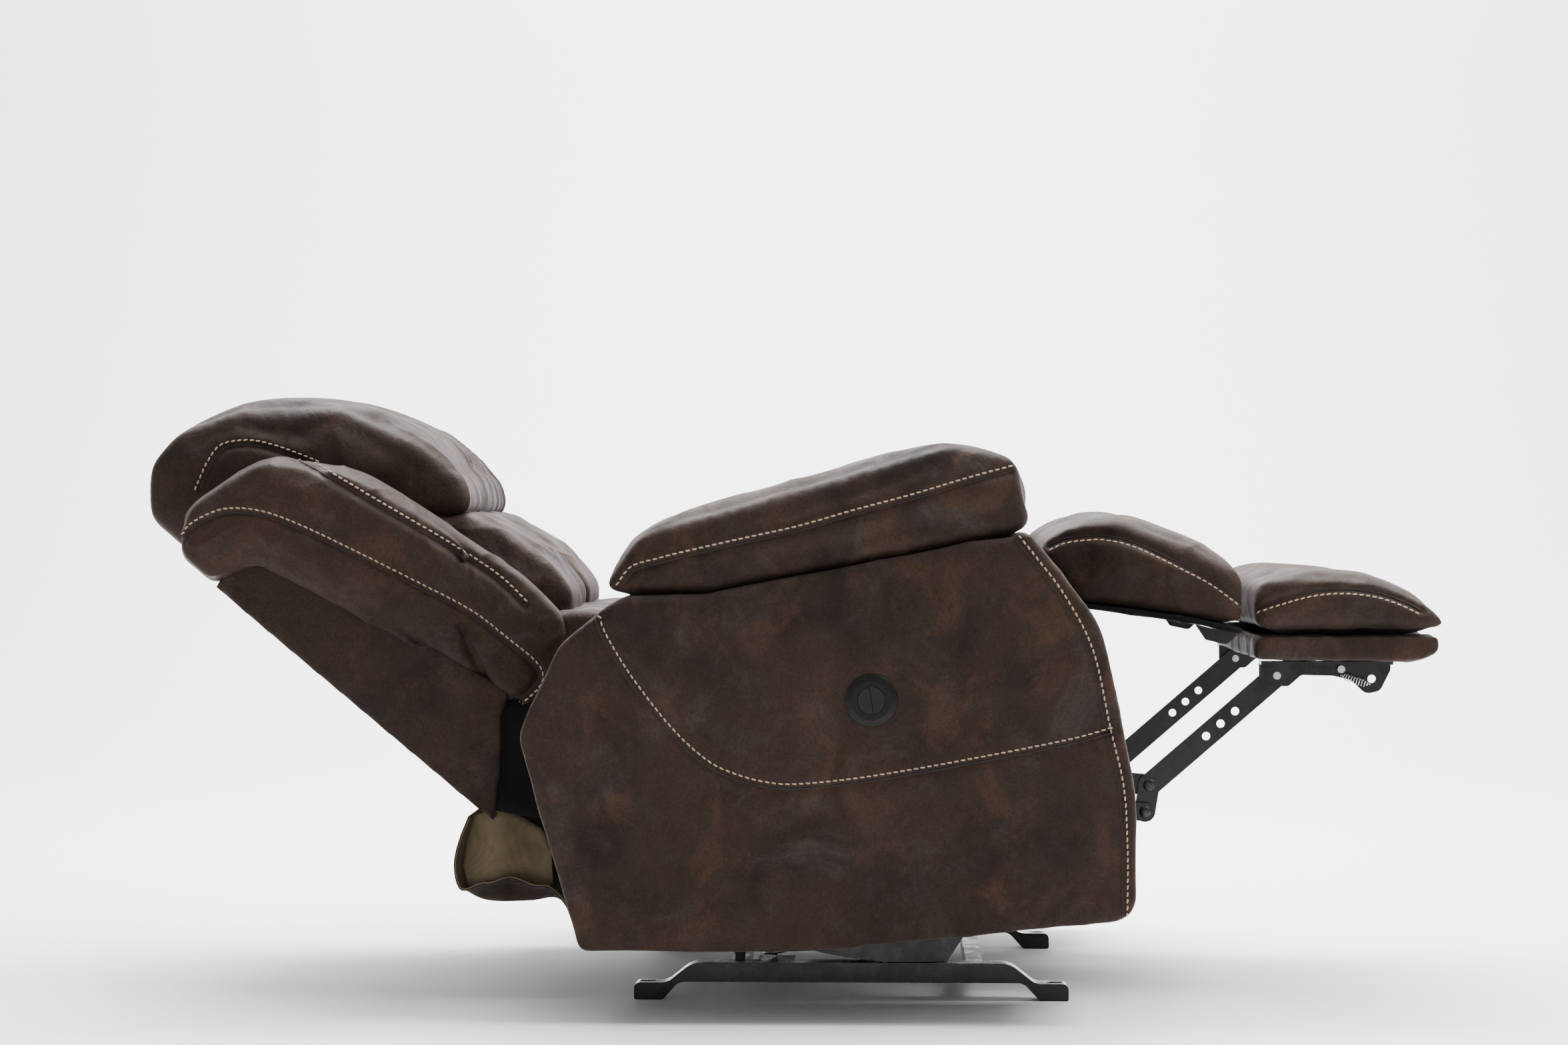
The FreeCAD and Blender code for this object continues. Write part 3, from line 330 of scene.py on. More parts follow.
def even_line(points, step):
    """Points a step apart on a smooth line through the given points."""
    points = [Vector(p) for p in points]
    ends = [points[0] * 2 - points[1]] + points + [points[-1] * 2 - points[-2]]
    fine = []
    parts = 24
    for a, b, c, d in zip(ends, ends[1:], ends[2:], ends[3:]):
        for part in range(parts):
            t = part / parts
            fine.append(0.5 * ((2 * b) + (c - a) * t + (2 * a - 5 * b + 4 * c - d) * t * t
                               + (3 * b - a - 3 * c + d) * t ** 3))
    fine.append(points[-1])
    line = [fine[0]]
    left = step
    for a, b in zip(fine, fine[1:]):
        span = (b - a).length
        while span > left:
            a = a + (b - a) * (left / span)
            span = (b - a).length
            line.append(a.copy())
            left = step
        left -= span
    return line


def beside(line, distance):
    """The same line moved sideways in the YZ plane."""
    moved = []
    for index, point in enumerate(line):
        before = line[max(index - 1, 0)]
        after = line[min(index + 1, len(line) - 1)]
        along = (after - before).normalized()
        moved.append(point + Vector((0, along.z, -along.y)) * distance)
    return moved


def surface_of(piece):
    mesh = bmesh.new()
    mesh.from_mesh(piece.data)
    tree = BVHTree.FromBMesh(mesh)
    mesh.free()
    return tree


def laid_on(trees, line, side):
    """Points and normals where a side view's line first meets one of the surfaces."""
    found = []
    for point in line:
        start = Vector((side * 0.8, point.y, point.z))
        hits = [tree.ray_cast(start, Vector((-side, 0, 0))) for tree in trees]
        hits = [hit for hit in hits if hit[0] is not None]
        if not hits:
            hits = [tree.find_nearest(Vector((side * 0.3, point.y, point.z))) for tree in trees]
        nearest = min(hits, key=lambda hit: (hit[0] - start).length)
        found.append((nearest[0], nearest[1]))
    return found


def sink_along(piece, path, depth, reach):
    """Pull the padding in along a seam."""
    values = coordinates(piece)
    directions = normals(piece)
    points = np.array([tuple(p) for p, _ in path])
    low = points.min(0) - reach * 3
    high = points.max(0) + reach * 3
    near = np.where(np.all((values > low) & (values < high), axis=1))[0]
    for start in range(0, len(near), 4000):
        part = near[start:start + 4000]
        gap = np.linalg.norm(values[part, None, :] - points[None, :, :], axis=2).min(1)
        values[part] -= directions[part] * (depth * np.exp(-(gap / reach) ** 2))[:, None]
    set_coordinates(piece, values)


def unit_stitch():
    """One stitch: a flattened capsule along X."""
    deselect()
    bpy.ops.mesh.primitive_uv_sphere_add(segments=8, ring_count=6, radius=1)
    stitch = bpy.context.object
    stitch.rotation_euler = (0, math.pi / 2, 0)
    settle(stitch)
    values = coordinates(stitch)
    reach = sizes().stitch_length / 2 / sizes().thread_radius
    values[:, 0] = np.sign(values[:, 0]) * np.abs(values[:, 0]) ** 0.6 * reach
    values[:, 2] *= 0.8
    return values * sizes().thread_radius, stitch


def stitch_row(name, path):
    """A row of stitches, each at a slight slant, along a path of surface points."""
    lift = 0.0004
    lean = math.radians(7)
    values, stitch = unit_stitch()
    faces = [tuple(f.vertices) for f in stitch.data.polygons]
    all_points = []
    all_faces = []
    for index, (point, normal) in enumerate(path):
        before = path[max(index - 1, 0)][0]
        after = path[min(index + 1, len(path) - 1)][0]
        along = after - before
        along = along - normal * along.dot(normal)
        if along.length < 1e-6:
            continue
        along.normalize()
        across = normal.cross(along)
        turned = along * math.cos(lean) + across * math.sin(lean)
        across = normal.cross(turned)
        basis = np.array([turned, across, normal])
        base = len(all_points) * len(values)
        all_points.append(values @ basis + np.array(point + normal * lift))
        all_faces += [tuple(v + base for v in face) for face in faces]
    mesh = bpy.data.meshes.new(name)
    mesh.from_pydata(np.concatenate(all_points).tolist(), [], all_faces)
    bpy.data.objects.remove(stitch)
    row = new_object(name, mesh)
    row.data.materials.append(thread_material())
    return smooth_shade(row)


def wire(name, points, radius, resolution):
    """A round wire or cord along a line of points."""
    curve = bpy.data.curves.new(name, "CURVE")
    curve.dimensions = "3D"
    curve.bevel_depth = radius
    curve.bevel_resolution = resolution
    curve.use_fill_caps = True
    spline = curve.splines.new("POLY")
    spline.points.add(len(points) - 1)
    for spot, point in zip(spline.points, points):
        spot.co = (*point, 1)
    rope = new_object(name + "_curve", curve)
    pick(rope)
    bpy.ops.object.convert(target="MESH")
    rope.name = name
    rope.data.name = name
    rope.data.materials.clear()
    return smooth_shade(rope)


def seam_shadow_line(name, path):
    """A dark cord sunk in a seam: painted shade along the seam's furrow."""
    radius = 0.0013
    sink = 0.0004
    edge = wire(name, [point - normal * sink for point, normal in path], radius, 2)
    edge.data.materials.append(seam_shadow_material())
    return edge


def side_line(points, step=0.004):
    """A side view's outline points, in millimetres, as an even line."""
    return even_line([(0, y * MM, z * MM) for y, z in points], step)


def sew(name, pieces, points, side, offset, body, depth=None):
    """Sew one visible seam: a furrow, a dark cord of painted shade in it and a row of stitches beside
    it.
    """
    line = side_line(points)
    trees = [surface_of(piece) for piece in pieces]
    seam = laid_on(trees, beside(line, offset), side)
    for piece in pieces:
        sink_along(piece, seam, depth or sizes().seam_depth, sizes().seam_offset)
    trees = [surface_of(piece) for piece in pieces]
    seam = laid_on(trees, beside(line, offset), side)
    stitches = laid_on(trees, side_line(points, sizes().stitch_pitch), side)
    # The seam's dark cord: painted shade laid in the furrow.
    edge = seam_shadow_line(name + "_seam", seam)
    row = stitch_row(name + "_stitches", stitches)
    for item in (edge, row):
        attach(item, body)
    return edge, row


def mirror_sewing(items, body):
    """The same seams and stitches for the right side."""
    for item in items:
        other = mirrored(item, item.name.replace("left", "right"))
        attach(other, body)
        smooth_shade(other)


# ---------------------------------------------------------------- materials

def material(name):
    found = bpy.data.materials.get(name)
    if found is not None:
        return found, None
    made = bpy.data.materials.new(name)
    made.use_nodes = True
    return made, made.node_tree


def add_node(tree, kind, inputs=(), **values):
    node = tree.nodes.new(kind)
    for key, value in values.items():
        setattr(node, key, value)
    for key, value in dict(inputs).items():
        node.inputs[key].default_value = value
    return node


def pattern(tree, scale, detail, roughness, distortion=0.0, stretch=(1, 1, 1), shift=(0, 0, 0)):
    """Noise in the chair's own coordinates."""
    place = add_node(tree, "ShaderNodeTexCoord")
    turn = add_node(tree, "ShaderNodeMapping", {"Scale": stretch, "Location": shift})
    grain = add_node(tree, "ShaderNodeTexNoise", {
        "Scale": scale, "Detail": detail, "Roughness": roughness, "Distortion": distortion})
    tree.links.new(place.outputs["Object"], turn.inputs["Vector"])
    tree.links.new(turn.outputs["Vector"], grain.inputs["Vector"])
    return grain.outputs["Fac"]


def ramp(tree, source, stops):
    """Colours over a pattern's range."""
    node = add_node(tree, "ShaderNodeValToRGB")
    while len(node.color_ramp.elements) < len(stops):
        node.color_ramp.elements.new(0.5)
    for element, (place, colour) in zip(node.color_ramp.elements, stops):
        element.position = place
        element.color = (*colour, 1)
    tree.links.new(source, node.inputs["Fac"])
    return node.outputs["Color"]


def mixed(tree, share, first, second, blend="MIX"):
    node = add_node(tree, "ShaderNodeMix", data_type="RGBA", blend_type=blend)
    for socket, value in ((node.inputs[0], share), (node.inputs[6], first), (node.inputs[7], second)):
        if hasattr(value, "links"):
            tree.links.new(value, socket)
        else:
            socket.default_value = value if isinstance(value, (int, float)) else (*value, 1)
    return node.outputs[2]


def band(tree, source, low, high, to_low=0.0, to_high=1.0):
    node = add_node(tree, "ShaderNodeMapRange", {1: low, 2: high, 3: to_low, 4: to_high})
    node.interpolation_type = "SMOOTHSTEP"
    tree.links.new(source, node.inputs[0])
    return node.outputs[0]


def bump(tree, height, strength, distance, before=None):
    node = add_node(tree, "ShaderNodeBump", {"Strength": strength, "Distance": distance})
    tree.links.new(height, node.inputs["Height"])
    if before is not None:
        tree.links.new(before, node.inputs["Normal"])
    return node.outputs["Normal"]


def shader(tree):
    return next(node for node in tree.nodes if node.type == "BSDF_PRINCIPLED")


def shades(hue, dark, light):
    """A ramp's two stops: a hue darkened and lightened."""
    return [(0.3, tuple(c * dark for c in hue)), (0.7, tuple(c * light for c in hue))]


def roughen(tree, source, low, high):
    """Let a pattern vary the surface's roughness between two values."""
    tree.links.new(band(tree, source, 0.3, 0.7, low, high), shader(tree).inputs["Roughness"])


def cover_material():
    """Soft brown cover, mottled from chocolate to rust, with patches of grey bloom."""
    made, tree = material("brown_suede_cover")
    if tree is None:
        return made
    hues = colours()
    surface = shader(tree)
    mid = tuple(hues.cover_mid)
    lighter = tuple(c * 1.2 for c in mid)
    clouds = pattern(tree, 7.5, 7, 0.62, 0.35)
    base = ramp(tree, clouds, [(0.30, tuple(hues.cover_dark)), (0.50, mid), (0.72, lighter)])
    patches = band(tree, pattern(tree, 13, 6, 0.66, 0.5, shift=(3, 1, 7)), 0.48, 0.74, 0.0, 0.8)
    rusty = mixed(tree, patches, base, tuple(hues.cover_rust))
    bloom = band(tree, pattern(tree, 9, 8, 0.7, 0.8, shift=(9, 4, 2)), 0.50, 0.80, 0.0, 0.6)
    bloomed = mixed(tree, bloom, rusty, tuple(hues.cover_worn))
    fine = band(tree, pattern(tree, 320, 4, 0.7), 0.3, 0.7, 0.72, 1.15)
    nap = mixed(tree, 1.0, bloomed, fine, "MULTIPLY")
    tree.links.new(nap, surface.inputs["Base Color"])
    roughen(tree, pattern(tree, 22, 6, 0.65, 0.4, shift=(2, 8, 5)), 0.52, 0.72)
    surface.inputs["Sheen Weight"].default_value = 0.07
    surface.inputs["Sheen Roughness"].default_value = 0.42
    surface.inputs["Sheen Tint"].default_value = (0.80, 0.74, 0.78, 1)
    surface.inputs["Specular IOR Level"].default_value = 0.13
    cells = add_node(tree, "ShaderNodeTexVoronoi", {"Scale": 210.0, "Randomness": 1.0},
                     feature="DISTANCE_TO_EDGE")
    place = add_node(tree, "ShaderNodeTexCoord")
    tree.links.new(place.outputs["Object"], cells.inputs["Vector"])
    pebbles = bump(tree, band(tree, cells.outputs["Distance"], 0.0, 0.22), 0.14, 0.0006)
    creases = bump(tree, pattern(tree, 34, 7, 0.68, 1.2, shift=(4, 4, 4)), 0.32, 0.0045, pebbles)
    rumples = bump(tree, pattern(tree, 8, 4, 0.55, 0.8, shift=(1, 6, 3)), 0.30, 0.014, creases)
    tree.links.new(rumples, surface.inputs["Normal"])
    return made


def thread_material():
    made, tree = material("tan_thread")
    if tree is None:
        return made
    surface = shader(tree)
    twist = pattern(tree, 900, 3, 0.6)
    hue = ramp(tree, twist, shades(colours().thread, 0.6, 1.15))
    tree.links.new(hue, surface.inputs["Base Color"])
    tree.links.new(bump(tree, twist, 0.5, 0.0004), surface.inputs["Normal"])
    surface.inputs["Roughness"].default_value = 0.6
    surface.inputs["Sheen Weight"].default_value = 0.3
    return made


# Painted shade for the seams: a near-black brown for the cord that darkens each furrow.
def seam_shadow_material():
    made, tree = material("seam_shadow")
    if tree is None:
        return made
    surface = shader(tree)
    hue = ramp(tree, pattern(tree, 90, 4, 0.6), [
        (0.3, (0.006, 0.004, 0.0035)), (0.7, (0.016, 0.010, 0.008))])
    tree.links.new(hue, surface.inputs["Base Color"])
    surface.inputs["Roughness"].default_value = 0.85
    return made


def cloth_material(name, hue):
    """Plain woven cloth: two crossing sets of threads."""
    made, tree = material(name)
    if tree is None:
        return made
    surface = shader(tree)
    place = add_node(tree, "ShaderNodeTexCoord")
    threads = 900.0
    weave = []
    for direction in ("X", "Z"):
        wave = add_node(tree, "ShaderNodeTexWave", {"Scale": threads / 6.3, "Distortion": 0.0},
                        bands_direction=direction)
        tree.links.new(place.outputs["Object"], wave.inputs["Vector"])
        weave.append(wave.outputs["Color"])
    crossed = mixed(tree, 0.5, *weave)
    shade = ramp(tree, pattern(tree, 14, 5, 0.6, 0.3), shades(hue, 0.72, 1.25))
    woven = mixed(tree, 0.16, shade, crossed, "MULTIPLY")
    tree.links.new(woven, surface.inputs["Base Color"])
    tree.links.new(bump(tree, crossed, 0.25, 0.0004), surface.inputs["Normal"])
    surface.inputs["Roughness"].default_value = 0.9
    surface.inputs["Specular IOR Level"].default_value = 0.12
    surface.inputs["Sheen Weight"].default_value = 0.03
    return made


def dust_cloth():
    return cloth_material("black_dust_cloth", (0.0032, 0.0032, 0.0035))


def khaki_cloth():
    return cloth_material("khaki_lining", tuple(colours().lining))


def enamel_material():
    """Black enamel on stamped steel, with scuffs and a faint orange peel."""
    made, tree = material("black_enamel")
    if tree is None:
        return made
    surface = shader(tree)
    scuffs = band(tree, pattern(tree, 60, 8, 0.75, 0.6, stretch=(1, 1, 3)), 0.62, 0.76, 0, 0.4)
    base = ramp(tree, pattern(tree, 20, 5, 0.6), shades(colours().enamel, 0.7, 1.6))
    tree.links.new(mixed(tree, scuffs, base, (0.022, 0.022, 0.023)), surface.inputs["Base Color"])
    roughen(tree, pattern(tree, 35, 6, 0.65), 0.20, 0.42)
    tree.links.new(bump(tree, pattern(tree, 260, 3, 0.5), 0.10, 0.0006), surface.inputs["Normal"])
    surface.inputs["Specular IOR Level"].default_value = 0.30
    surface.inputs["Coat Weight"].default_value = 0.10
    surface.inputs["Coat Roughness"].default_value = 0.22
    return made


def metal_material(name, light, dark, rough=(0.22, 0.42)):
    """Plated or drawn steel with a cloudy surface."""
    made, tree = material(name)
    if tree is None:
        return made
    surface = shader(tree)
    hue = ramp(tree, pattern(tree, 70, 6, 0.6, 0.3), [(0.3, dark), (0.7, light)])
    tree.links.new(hue, surface.inputs["Base Color"])
    roughen(tree, pattern(tree, 150, 5, 0.7), *rough)
    tree.links.new(bump(tree, pattern(tree, 500, 3, 0.6), 0.12, 0.0003), surface.inputs["Normal"])
    surface.inputs["Metallic"].default_value = 1.0
    return made


def moulded_material(name, hue, rough=(0.38, 0.52)):
    """Moulded plastic or rubber with a fine spark-eroded grain."""
    made, tree = material(name)
    if tree is None:
        return made
    surface = shader(tree)
    shade = ramp(tree, pattern(tree, 40, 5, 0.6), shades(hue, 0.8, 1.2))
    tree.links.new(shade, surface.inputs["Base Color"])
    roughen(tree, pattern(tree, 60, 5, 0.6), *rough)
    tree.links.new(bump(tree, pattern(tree, 900, 3, 0.6), 0.18, 0.0003), surface.inputs["Normal"])
    surface.inputs["Specular IOR Level"].default_value = 0.18
    return made


def wood_material():
    """Raw pine and plywood, with the grain along Y."""
    made, tree = material("raw_frame_wood")
    if tree is None:
        return made
    surface = shader(tree)
    grain = pattern(tree, 24, 8, 0.62, 1.6, stretch=(6, 0.5, 6))
    hue = ramp(tree, grain, [
        (0.30, (0.30, 0.18, 0.09)), (0.50, (0.46, 0.31, 0.17)), (0.70, (0.60, 0.43, 0.26))])
    tree.links.new(hue, surface.inputs["Base Color"])
    tree.links.new(bump(tree, grain, 0.25, 0.0012), surface.inputs["Normal"])
    surface.inputs["Roughness"].default_value = 0.72
    return made


def paint(piece, finish):
    piece.data.materials.clear()
    piece.data.materials.append(finish)


def finish_piece(piece, finish, slot, body, *nodes):
    """Give a piece its finish and the body it rides on, and hide the CAD nodes it stands for."""
    paint(piece, finish)
    if nodes:
        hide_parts(*nodes)
    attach(piece, body)
    return piece


# ---------------------------------------------------------------- the arms

PANEL_SEAM = [(318, 525), (306, 493), (272, 438), (222, 375), (180, 337), (146, 320), (104, 309),
              (62, 307), (-22, 316), (-148, 338), (-273, 363), (-328, 378)]
ARM_FRONT_SEAM = [(-215, 618), (-236, 592), (-273, 542), (-307, 475), (-328, 380), (-345, 305),
                  (-350, 229), (-350, 160), (-349, 112)]
PAD_SEAM = [(294, 559), (276, 581), (244, 591), (208, 600), (138, 616), (66, 632), (-4, 652),
            (-75, 671), (-145, 692), (-204, 708)]


def reach_to_frame(cover):
    """Carry the side panel's inner face in to the arm frame's, so that the cover takes in both."""
    panel_low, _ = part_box("arm_panel_left")
    frame_low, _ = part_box("arm_frame_left")
    values = coordinates(cover)
    inner = values[:, 0] < panel_low.x + 0.001
    values[inner, 0] = frame_low.x
    set_coordinates(cover, values)


def raise_under_pad(cover):
    """Lift the top of the cover under the arm pad, so that no gap shows between them."""
    rise = 0.009
    lowest = 0.52
    front = -0.20
    rear = 0.300
    values = coordinates(cover)
    share = (normals(cover)[:, 2] > 0.75) * np.clip((values[:, 2] - lowest) / 0.02, 0, 1)
    share *= np.clip((values[:, 1] - front) / 0.05, 0, 1) * np.clip((rear - values[:, 1]) / 0.02, 0, 1)
    values[:, 2] += share * rise
    set_coordinates(cover, values)


class RECLINER_OT_arms(bpy.types.Operator):
    """Covers and pads of both arms, with their seams"""

    bl_idname = "recliner.arms"
    bl_label = "Arms"

    def execute(self, context):
        beside_seam = -sizes().seam_offset
        cover = copy_of("arm_panel_left", "arm_cover_left")
        reach_to_frame(cover)
        remesh(cover, sizes().cover_voxel)
        soften(cover, 14)
        raise_under_pad(cover)
        soften(cover, 2)
        folds(cover, 0.0020, (7, 7, 7), 3)
        smooth_shade(cover)
        sewn = list(sew("arm_panel_left", [cover], PANEL_SEAM, 1, beside_seam, "chassis", 0.0035))
        sewn += list(sew("arm_front_left", [cover], ARM_FRONT_SEAM, 1, beside_seam, "chassis", 0.0030))
        pad = padded_piece("arm_cushion_left", "arm_pad_left", 0.004, 22, 0.014)
        folds(pad, 0.0026, (14, 9, 9), 5)
        sewn += list(sew("arm_cushion_left", [pad], PAD_SEAM, 1, beside_seam, "chassis"))
        other_cover = mirrored(cover, "arm_cover_right")
        other_pad = mirrored(pad, "arm_cushion_right")
        mirror_sewing(sewn, "chassis")
        for piece, name in ((cover, "left"), (other_cover, "right")):
            smooth_shade(piece)
            finish_piece(piece, cover_material(), "brown_cover", "chassis",
                         "arm_panel_" + name, "arm_frame_" + name)
        for piece, name in ((pad, "left"), (other_pad, "right")):
            smooth_shade(piece)
            finish_piece(piece, cover_material(), "brown_cover", "chassis", "arm_pad_" + name)
        return {"FINISHED"}


# ---------------------------------------------------------------- the backrest

WING_SEAM = [(887, 614), (874, 633), (844, 649), (817, 655), (779, 652), (731, 636), (648, 597),
             (573, 558), (498, 517), (449, 479), (419, 454), (408, 435), (415, 415), (448, 386)]
WING_FOLD = [(517, 497), (509, 475), (499, 454), (487, 429), (470, 400)]
HEAD_SEAM = [(886, 682), (870, 717), (854, 739), (831, 746), (799, 745), (752, 731), (694, 706),
             (616, 661), (557, 626), (499, 589), (460, 561), (427, 529)]


BACK_LEAN = math.radians(40.1)
BACK_FOOT = (0.501, 0.259)


def taper_overhang(wing):
    """Let the bolster's overhang grow gradually from its lower end upwards."""
    inner = 0.300
    values = coordinates(wing)
    along, _ = in_back(values)
    share = np.clip((along - 0.185) / 0.150, 0, 1)
    share = share * share * (3 - 2 * share)
    outside = values[:, 0] > inner
    values[outside, 0] = inner + (values[outside, 0] - inner) * share[outside]
    set_coordinates(wing, values)


def in_back(values):
    """Places along the back and depths towards the sitter of an array of points."""
    y = values[:, 1] - BACK_FOOT[0]
    z = values[:, 2] - BACK_FOOT[1]
    along = y * math.cos(BACK_LEAN) + z * math.sin(BACK_LEAN)
    depth = z * math.cos(BACK_LEAN) - y * math.sin(BACK_LEAN)
    return along, depth


def tuck_under_cushions(cover):
    """Carry the outer back's upper edge on into the bolsters, so that no gap shows along the crease."""
    reach = 0.020
    values = coordinates(cover)
    along, depth = in_back(values)
    crease = np.interp(along, (0.059, 0.375, 0.420, 0.443, 0.458), (0.131, 0.074, 0.061, 0.034, 0.0))
    share = np.clip((depth - crease + 0.016) / 0.010, 0, 1) * np.clip((along - 0.03) / 0.03, 0, 1)
    share *= np.clip((0.462 - along) / 0.012, 0, 1)
    values += np.outer(share * reach, (0, -math.sin(BACK_LEAN), math.cos(BACK_LEAN)))
    set_coordinates(cover, values)


class RECLINER_OT_backrest(bpy.types.Operator):
    """Outer back, side bolsters, head pillow and lumbar pillows"""

    bl_idname = "recliner.backrest"
    bl_label = "Backrest"

    def execute(self, context):
        cover = copy_of("back_cover", "back_outer_cover")
        remesh(cover, sizes().cover_voxel)
        soften(cover, 8)
        tuck_under_cushions(cover)
        folds(cover, 0.0013, (5, 5, 5), 11)
        smooth_shade(cover)
        finish_piece(cover, cover_material(), "brown_cover", "backrest", "back_cover")

        wing = padded_piece("wing_cushion_left", "wing_bolster_left", 0.000, 16, 0.013,
                            reshape=taper_overhang)
        folds(wing, 0.0032, (10, 13, 13), 7)
        fold_line = laid_on([surface_of(wing)], side_line(WING_FOLD), 1)
        sink_along(wing, fold_line, 0.009, 0.008)
        sewn = sew("wing_left", [wing], WING_SEAM, 1, -sizes().seam_offset, "backrest")
        other = mirrored(wing, "wing_cushion_right")
        mirror_sewing(sewn, "backrest")
        for piece, name in ((wing, "left"), (other, "right")):
            smooth_shade(piece)
            finish_piece(piece, cover_material(), "brown_cover", "backrest", "wing_bolster_" + name)

        head = padded_piece("head_cushion", "head_pillow", 0.005, 22, 0.022, 0.0065)
        folds(head, 0.0042, (17, 6, 6), 2, lambda p: max(0.2, min(1.0, (0.80 - p[1]) / 0.2)))
        wings = {-1: other, 1: wing}
        for name, side in SIDES:
            sew("head_" + name, [head, wings[side]], HEAD_SEAM, side, -sizes().seam_offset, "backrest")
        finish_piece(head, cover_material(), "brown_cover", "backrest", "head_pillow")

        lumbar = padded_piece("lumbar_cushion_left", "lumbar_pillow_left", 0.004, 20, 0.020)
        folds(lumbar, 0.0040, (15, 7, 7), 9)
        other_lumbar = mirrored(lumbar, "lumbar_cushion_right")
        for piece, name in ((lumbar, "left"), (other_lumbar, "right")):
            smooth_shade(piece)
            finish_piece(piece, cover_material(), "brown_cover", "backrest", "lumbar_pillow_" + name)
        return {"FINISHED"}


# ---------------------------------------------------------------- the seat

class RECLINER_OT_seat(bpy.types.Operator):
    """Seat cushion and the soft filler behind it"""

    bl_idname = "recliner.seat"
    bl_label = "Seat"

    def execute(self, context):
        seat = padded_piece("seat_pad", "seat_cushion", 0.005, 20, 0.020, 0.0075)
        folds(seat, 0.0040, (9, 9, 9), 4)
        finish_piece(seat, cover_material(), "brown_cover", "chassis", "seat_cushion")

        low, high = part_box("seat_cushion")
        wedge_rear = 0.405
        deselect()
        bpy.ops.mesh.primitive_cube_add(size=1, location=(0, (high.y - 0.03 + wedge_rear) / 2, 0.455))
        filler = bpy.context.object
        filler.name = "seat_rear_filler"
        filler.data.name = "seat_rear_filler"
        filler.scale = (high.x - low.x - 0.02, wedge_rear - high.y + 0.03, 0.13)
        settle(filler)
        remesh(filler, 0.010)
        soften(filler, 34)
        folds(filler, 0.0050, (9, 12, 12), 8)
        refine(filler)
        smooth_shade(filler)
        finish_piece(filler, cover_material(), "brown_cover", "chassis")
        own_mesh(filler)
        return {"FINISHED"}


# ---------------------------------------------------------------- chaise and footrest

CHAISE_SEAM = [(-265, 600), (-283, 608), (-310, 612), (-338, 612), (-377, 602), (-436, 574),
               (-476, 553), (-514, 525)]
FOOTREST_SEAM = [(-538, 517), (-558, 525), (-605, 538), (-645, 542), (-688, 538), (-723, 527),
                 (-750, 514)]


class RECLINER_OT_leg_supports(bpy.types.Operator):
    """Chaise pad and footrest, with the covered boards under them"""

    bl_idname = "recliner.leg_supports"
    bl_label = "Chaise and footrest"

    def execute(self, context):
        chaise = padded_piece("chaise_cushion", "chaise_pad", 0.001, 34, 0.014, 0.0065)
        folds(chaise, 0.0032, (7, 9, 7), 6)
        footrest = padded_piece("footrest_cushion", "footrest_pad", 0.000, 34, 0.013, 0.0065)
        folds(footrest, 0.0026, (7, 8, 8), 12)
        for name, side in SIDES:
            sew("chaise_" + name, [chaise], CHAISE_SEAM, side, sizes().seam_offset, "chaise")
            sew("footrest_" + name, [footrest], FOOTREST_SEAM, side, sizes().seam_offset, "footrest")
        finish_piece(chaise, cover_material(), "brown_cover", "chaise", "chaise_pad")
        finish_piece(footrest, cover_material(), "brown_cover", "footrest", "footrest_pad")

        wrap = copy_of("footrest_board", "footrest_wrap")
        remesh(wrap, 0.006)
        soften(wrap, 9)
        folds(wrap, 0.0028, (10, 22, 14), 14)
        refine(wrap)
        smooth_shade(wrap)
        finish_piece(wrap, cover_material(), "brown_cover", "footrest", "footrest_board")

        board = copy_of("chaise_board", "chaise_underside")
        apply_modifier(board, "BEVEL", width=0.005, segments=3, limit_method="ANGLE")
        remesh(board, 0.006)
        folds(board, 0.0018, (12, 18, 12), 15)
        smooth_shade(board)
        finish_piece(board, dust_cloth(), "black_cloth", "chaise", "chaise_board")
        return {"FINISHED"}


# ---------------------------------------------------------------- rear flap and side cloths

FLAP_LINE = [(508, 244), (517, 216), (524, 174), (520, 145), (503, 130), (475, 125), (430, 126),
             (400, 130), (380, 118), (366, 92)]
FLAP_EDGE_LIFT = [(0.00, 0), (0.35, 4), (0.50, 30), (0.62, 38), (0.78, 22), (0.90, 12), (1.00, 4)]
GUSSET_OUTLINE = [(504, 244), (514, 214), (519, 176), (511, 148), (486, 154), (454, 154), (412, 144),
                  (398, 150), (401, 200), (414, 226), (464, 256)]
SIDE_CLOTH_OUTLINE = [(484, 400), (402, 400), (380, 236), (466, 252), (506, 268)]


def eased(stops, place):
    """The value at a place between stops."""
    for (low, first), (high, second) in zip(stops, stops[1:]):
        if place <= high:
            share = (place - low) / (high - low)
            return first + (second - first) * share * share * (3 - 2 * share)
    return stops[-1][1]


def outline_sheet(name, outline, x, wave, finish):
    """A flat cloth panel in the side view, with a soft wave and a cloth's thickness."""
    mesh = bpy.data.meshes.new(name)
    mesh.from_pydata([(x, y * MM, z * MM) for y, z in outline], [], [tuple(range(len(outline)))])
    panel = new_object(name, mesh)
    pick(panel)
    bpy.ops.object.mode_set(mode="EDIT")
    bpy.ops.mesh.select_all(action="SELECT")
    bpy.ops.mesh.quads_convert_to_tris()
    bpy.ops.mesh.subdivide(number_cuts=9)
    bpy.ops.object.mode_set(mode="OBJECT")
    values = coordinates(panel)
    for index, point in enumerate(values):
        ripple = noise.noise(Vector((point[1] * 16, point[2] * 16, x * 3)))
        values[index, 0] += ripple * wave
    set_coordinates(panel, values)
    area = sum(face.area for face in panel.data.polygons)
    ys = [y * MM for y, _ in outline]
    zs = [z * MM for _, z in outline]
    apply_modifier(panel, "SOLIDIFY", thickness=0.0016, offset=0)
    smooth_shade(panel)
    paint(panel, finish)
    return panel, area, (max(ys) - min(ys), max(zs) - min(zs))


